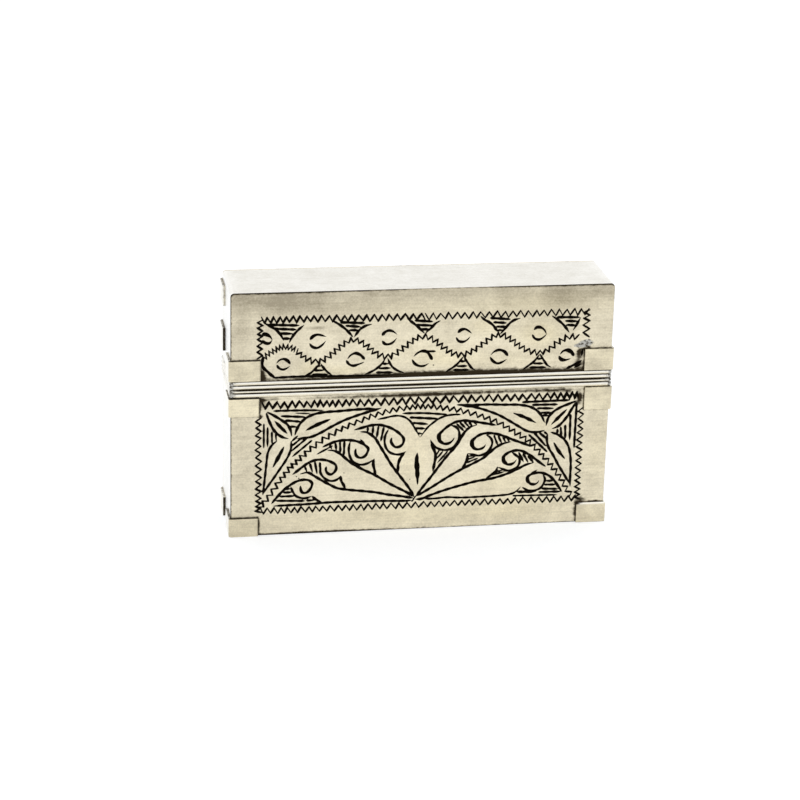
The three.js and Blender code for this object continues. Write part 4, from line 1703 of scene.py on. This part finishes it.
def pale_floor(stage):
    """A broad sheet under the case that takes its shadow, lifted to white where it is seen."""
    side = np.linspace(-FLOOR_REACH, FLOOR_REACH, FLOOR_LINES)
    x, y = np.meshgrid(side, side, indexing="ij")
    points = np.stack([x, y, np.zeros_like(x)], axis=-1).reshape(-1, 3)
    quads = grid_quads(FLOOR_LINES, FLOOR_LINES, False, False)
    mesh = bpy.data.meshes.new("floor")
    mesh.from_pydata(points.tolist(), [], quads.tolist())
    material, tree = blank_material("pale_floor")
    matt = place_node(tree, "ShaderNodeBsdfDiffuse", Color=opaque(stage.floor))
    lift = math_node(tree, "MULTIPLY", seen_or_mirrored(tree), FLOOR_LIFT)
    glow = place_node(tree, "ShaderNodeEmission", Color=WHITE, Strength=lift)
    both = place_node(tree, "ShaderNodeAddShader", _0=matt.outputs[0], _1=glow.outputs[0])
    place_node(tree, "ShaderNodeOutputMaterial", Surface=both.outputs[0])
    mesh.materials.append(material)
    floor = bpy.data.objects.new("floor", mesh)
    bpy.context.scene.collection.objects.link(floor)


def softbox(name, radiance, place, width, depth):
    """A rectangular lamp that faces the case. Its power is radiance * pi * area."""
    lamp = bpy.data.lights.new(name, "AREA")
    lamp.shape = "RECTANGLE"
    lamp.size, lamp.size_y = width, depth
    lamp.energy = radiance * math.pi * width * depth
    box = bpy.data.objects.new(name, lamp)
    box.location = place
    box.rotation_mode = "QUATERNION"
    box.rotation_quaternion = (Vector(LAMP_AIM) - Vector(place)).to_track_quat("-Z", "Y")
    bpy.context.scene.collection.objects.link(box)


def studio_world(stage):
    """White where it is seen or mirrored, and a plain light from all round elsewhere."""
    world = bpy.data.worlds.new("studio")
    world.use_nodes = True
    tree = world.node_tree
    tree.nodes.clear()
    strength = place_node(
        tree, "ShaderNodeMix", _0=seen_or_mirrored(tree), _2=stage.world_light, _3=1.0
    ).outputs[0]
    light = place_node(tree, "ShaderNodeBackground", Color=WHITE, Strength=strength)
    place_node(tree, "ShaderNodeOutputWorld", Surface=light.outputs[0])
    bpy.context.scene.world = world


def photo_camera(stage):
    """A camera at the eye, turned by azimuth, elevation and roll. Azimuth 0 looks along +Y."""
    a, e = stage.azimuth, stage.elevation
    back = Vector((math.sin(a) * math.cos(e), -math.cos(a) * math.cos(e), math.sin(e)))
    level = Vector((math.cos(a), math.sin(a), 0))
    right = math.cos(stage.roll) * level + math.sin(stage.roll) * back.cross(level)
    turned = Matrix((right, back.cross(right), back)).transposed()
    data = bpy.data.cameras.new("camera")
    data.lens, data.sensor_width = stage.lens, SENSOR_WIDTH
    data.clip_start, data.clip_end = 0.01, 20.0
    camera = bpy.data.objects.new("camera", data)
    camera.matrix_world = Matrix.Translation(stage.eye) @ turned.to_4x4()
    bpy.context.scene.collection.objects.link(camera)
    bpy.context.scene.camera = camera


# Sizes and colours that a user would change.


def size_setting(name, description, millimetres):
    """A length, given in millimetres and kept in metres."""
    return FloatProperty(
        name=name, description=description, default=millimetres * MM, unit="LENGTH", precision=5
    )


def colour_setting(name, description, default):
    """A colour in linear red, green and blue."""
    return FloatVectorProperty(
        name=name, description=description, default=default, subtype="COLOR", min=0, max=1
    )


def angle_setting(name, description, degrees):
    """An angle, given in degrees."""
    return FloatProperty(
        name=name, description=description, default=math.radians(degrees), subtype="ANGLE"
    )


def plain_setting(name, description, default):
    """A number that isn't below 0."""
    return FloatProperty(name=name, description=description, default=default, min=0)


class CaseSizes(PropertyGroup):
    """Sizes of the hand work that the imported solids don't hold."""

    band_edge: size_setting("Band edge", "Rounding of the bands along their seams", 0.07)
    plate_edge: size_setting("Plate edge", "Rounding of the plates along the case's edges", 0.24)
    clip_edge: size_setting("Clip edge", "Rounding of the clips' edges", 0.12)
    reed_corner: size_setting("Reed corner", "Rounding of the reeds' mitres", 0.3)
    beaten_depth: size_setting("Beaten depth", "How far the sheet dips below its true face", 0.035)
    cut_slope: plain_setting("Cut slope", "Depth of a cut for each unit of its half width", 0.62)


class CaseFinish(PropertyGroup):
    """Colours of the aged metal."""

    silver: colour_setting("Silver", "The alloy where it is rubbed clean", (0.885, 0.805, 0.61))
    clip: colour_setting("Clip", "The yellower alloy of the clips", (0.885, 0.798, 0.575))
    dulled: colour_setting("Dulled", "The alloy where it has tarnished", (0.37, 0.325, 0.235))
    # The band's pale colour, from handling and painted paler as a reflection of the bright light.
    handled_and_sheen: colour_setting("Handled", "The alloy where hands keep it pale", (0.93, 0.92, 0.885))
    # The band's dull tone, towards which its top is painted duller.
    hazed: colour_setting("Hazed", "The alloy where it is pale but hazed", (0.6, 0.575, 0.5))
    yellowed: colour_setting("Yellowed", "Tint of the fronts' yellower stretches", (1.0, 0.97, 0.83))
    # Also the colour of the painted highlights on the reeds and a clip's edge, and of the clips' legs
    # painted pale on the ends.
    worn_and_sheen: colour_setting("Worn", "The alloy on edges that hands have polished", (0.95, 0.935, 0.88))
    # Also the colour of the painted shade in angles, grooves and along edges.
    grime: colour_setting("Grime", "What has settled in angles and seams", (0.042, 0.031, 0.017))
    blacking: colour_setting("Blacking", "The floor of the engraved cuts", (0.006, 0.0045, 0.003))
    solder: colour_setting("Solder", "A smear of solder beside a clip", (0.47, 0.46, 0.42))


class CaseStage(PropertyGroup):
    """Camera, lamps and floor."""

    eye: FloatVectorProperty(
        name="Eye",
        description="Where the camera stands",
        default=(-0.099066, -0.540784, 0.228316),
        subtype="TRANSLATION",
        unit="LENGTH",
        precision=5,
    )
    azimuth: angle_setting("Azimuth", "The camera's turn round the case", -10.0)
    elevation: angle_setting("Elevation", "The camera's height above the horizon", 19.865)
    roll: angle_setting("Roll", "The camera's tilt to one side", 1.437)
    lens: plain_setting("Lens", "Focal length in millimetres", 108.0)
    world_light: plain_setting("World light", "Strength of the light from all round", 0.925)
    top_radiance: plain_setting("Top softbox", "Radiance of the softbox overhead", 0.6)
    back_radiance: plain_setting("Back softbox", "Radiance of the softbox behind", 0.12)
    floor: colour_setting("Floor", "Pale floor", (0.62, 0.635, 0.66))


# Operators, one for each group of like pieces and one for the stage.


class CASE_OT_engraved_fronts(Operator):
    """Cuts the engraving into the front plates of lid and base"""

    bl_idname = "case.engraved_fronts"
    bl_label = "Engraved fronts"

    def execute(self, context):
        engraved_front("lid", lid_engraving(), LID_PANEL, LID_FINE_STEP, LID_SPOTS)
        engraved_front("base", base_engraving(), BASE_PANEL, BASE_FINE_STEP, BASE_SPOTS)
        return {"FINISHED"}


class CASE_OT_plain_backs(Operator):
    """Makes the plain back plates of lid and base"""

    bl_idname = "case.plain_backs"
    bl_label = "Plain backs"

    def execute(self, context):
        plain_back("lid")
        plain_back("base")
        return {"FINISHED"}


class CASE_OT_bands(Operator):
    """Bends the strips that make the ends with the top, and the ends with the bottom"""

    bl_idname = "case.bands"
    bl_label = "Bent bands"

    def execute(self, context):
        bent_band("lid")
        bent_band("base")
        return {"FINISHED"}


class CASE_OT_collar(Operator):
    """Bends the inner collar that the lid slips over"""

    bl_idname = "case.collar"
    bl_label = "Slip collar"

    def execute(self, context):
        slip_collar()
        return {"FINISHED"}


class CASE_OT_reeds(Operator):
    """Runs the half-round wires round both rims"""

    bl_idname = "case.reeds"
    bl_label = "Reeds"

    def execute(self, context):
        for row in REEDS:
            reed(*row)
        return {"FINISHED"}


class CASE_OT_clips(Operator):
    """Bends the square clips round the upright edges"""

    bl_idname = "case.clips"
    bl_label = "Corner clips"

    def execute(self, context):
        for row in CLIPS:
            corner_clip(*row)
        return {"FINISHED"}


class CASE_OT_stage(Operator):
    """Sets the floor, the lamps, the world and the camera"""

    bl_idname = "case.stage"
    bl_label = "Stage"

    def execute(self, context):
        stage = context.scene.case_stage
        context.scene.view_settings.view_transform = "Standard"
        pale_floor(stage)
        softbox("back_softbox", stage.back_radiance, **BACK_SOFTBOX)
        softbox("top_softbox", stage.top_radiance, **TOP_SOFTBOX)
        studio_world(stage)
        photo_camera(stage)
        return {"FINISHED"}


OPERATORS = (
    CASE_OT_engraved_fronts,
    CASE_OT_plain_backs,
    CASE_OT_bands,
    CASE_OT_collar,
    CASE_OT_reeds,
    CASE_OT_clips,
    CASE_OT_stage,
)


class CASE_PT_dressing(Panel):
    """Lists the settings and the steps that dress the case"""

    bl_label = "Cigarette case"
    bl_idname = "CASE_PT_dressing"
    bl_space_type = "VIEW_3D"
    bl_region_type = "UI"
    bl_category = "Case"

    def draw(self, context):
        scene = context.scene
        for group in (scene.case_sizes, scene.case_finish, scene.case_stage):
            box = self.layout.box()
            for name in group.__annotations__:
                box.prop(group, name)
        for step in OPERATORS:
            self.layout.operator(step.bl_idname)


CLASSES = (CaseSizes, CaseFinish, CaseStage, *OPERATORS, CASE_PT_dressing)


def register():
    """Registers the classes and hangs the settings on the scene."""
    for cls in CLASSES:
        bpy.utils.register_class(cls)
    bpy.types.Scene.case_sizes = PointerProperty(type=CaseSizes)
    bpy.types.Scene.case_finish = PointerProperty(type=CaseFinish)
    bpy.types.Scene.case_stage = PointerProperty(type=CaseStage)


def unregister():
    """Undoes what register did."""
    del bpy.types.Scene.case_sizes, bpy.types.Scene.case_finish, bpy.types.Scene.case_stage
    for cls in reversed(CLASSES):
        bpy.utils.unregister_class(cls)


def main():
    register()
    bpy.ops.case.engraved_fronts()
    bpy.ops.case.plain_backs()
    bpy.ops.case.bands()
    bpy.ops.case.collar()
    bpy.ops.case.reeds()
    bpy.ops.case.clips()
    bpy.ops.case.stage()


if __name__ == "__main__":
    main()
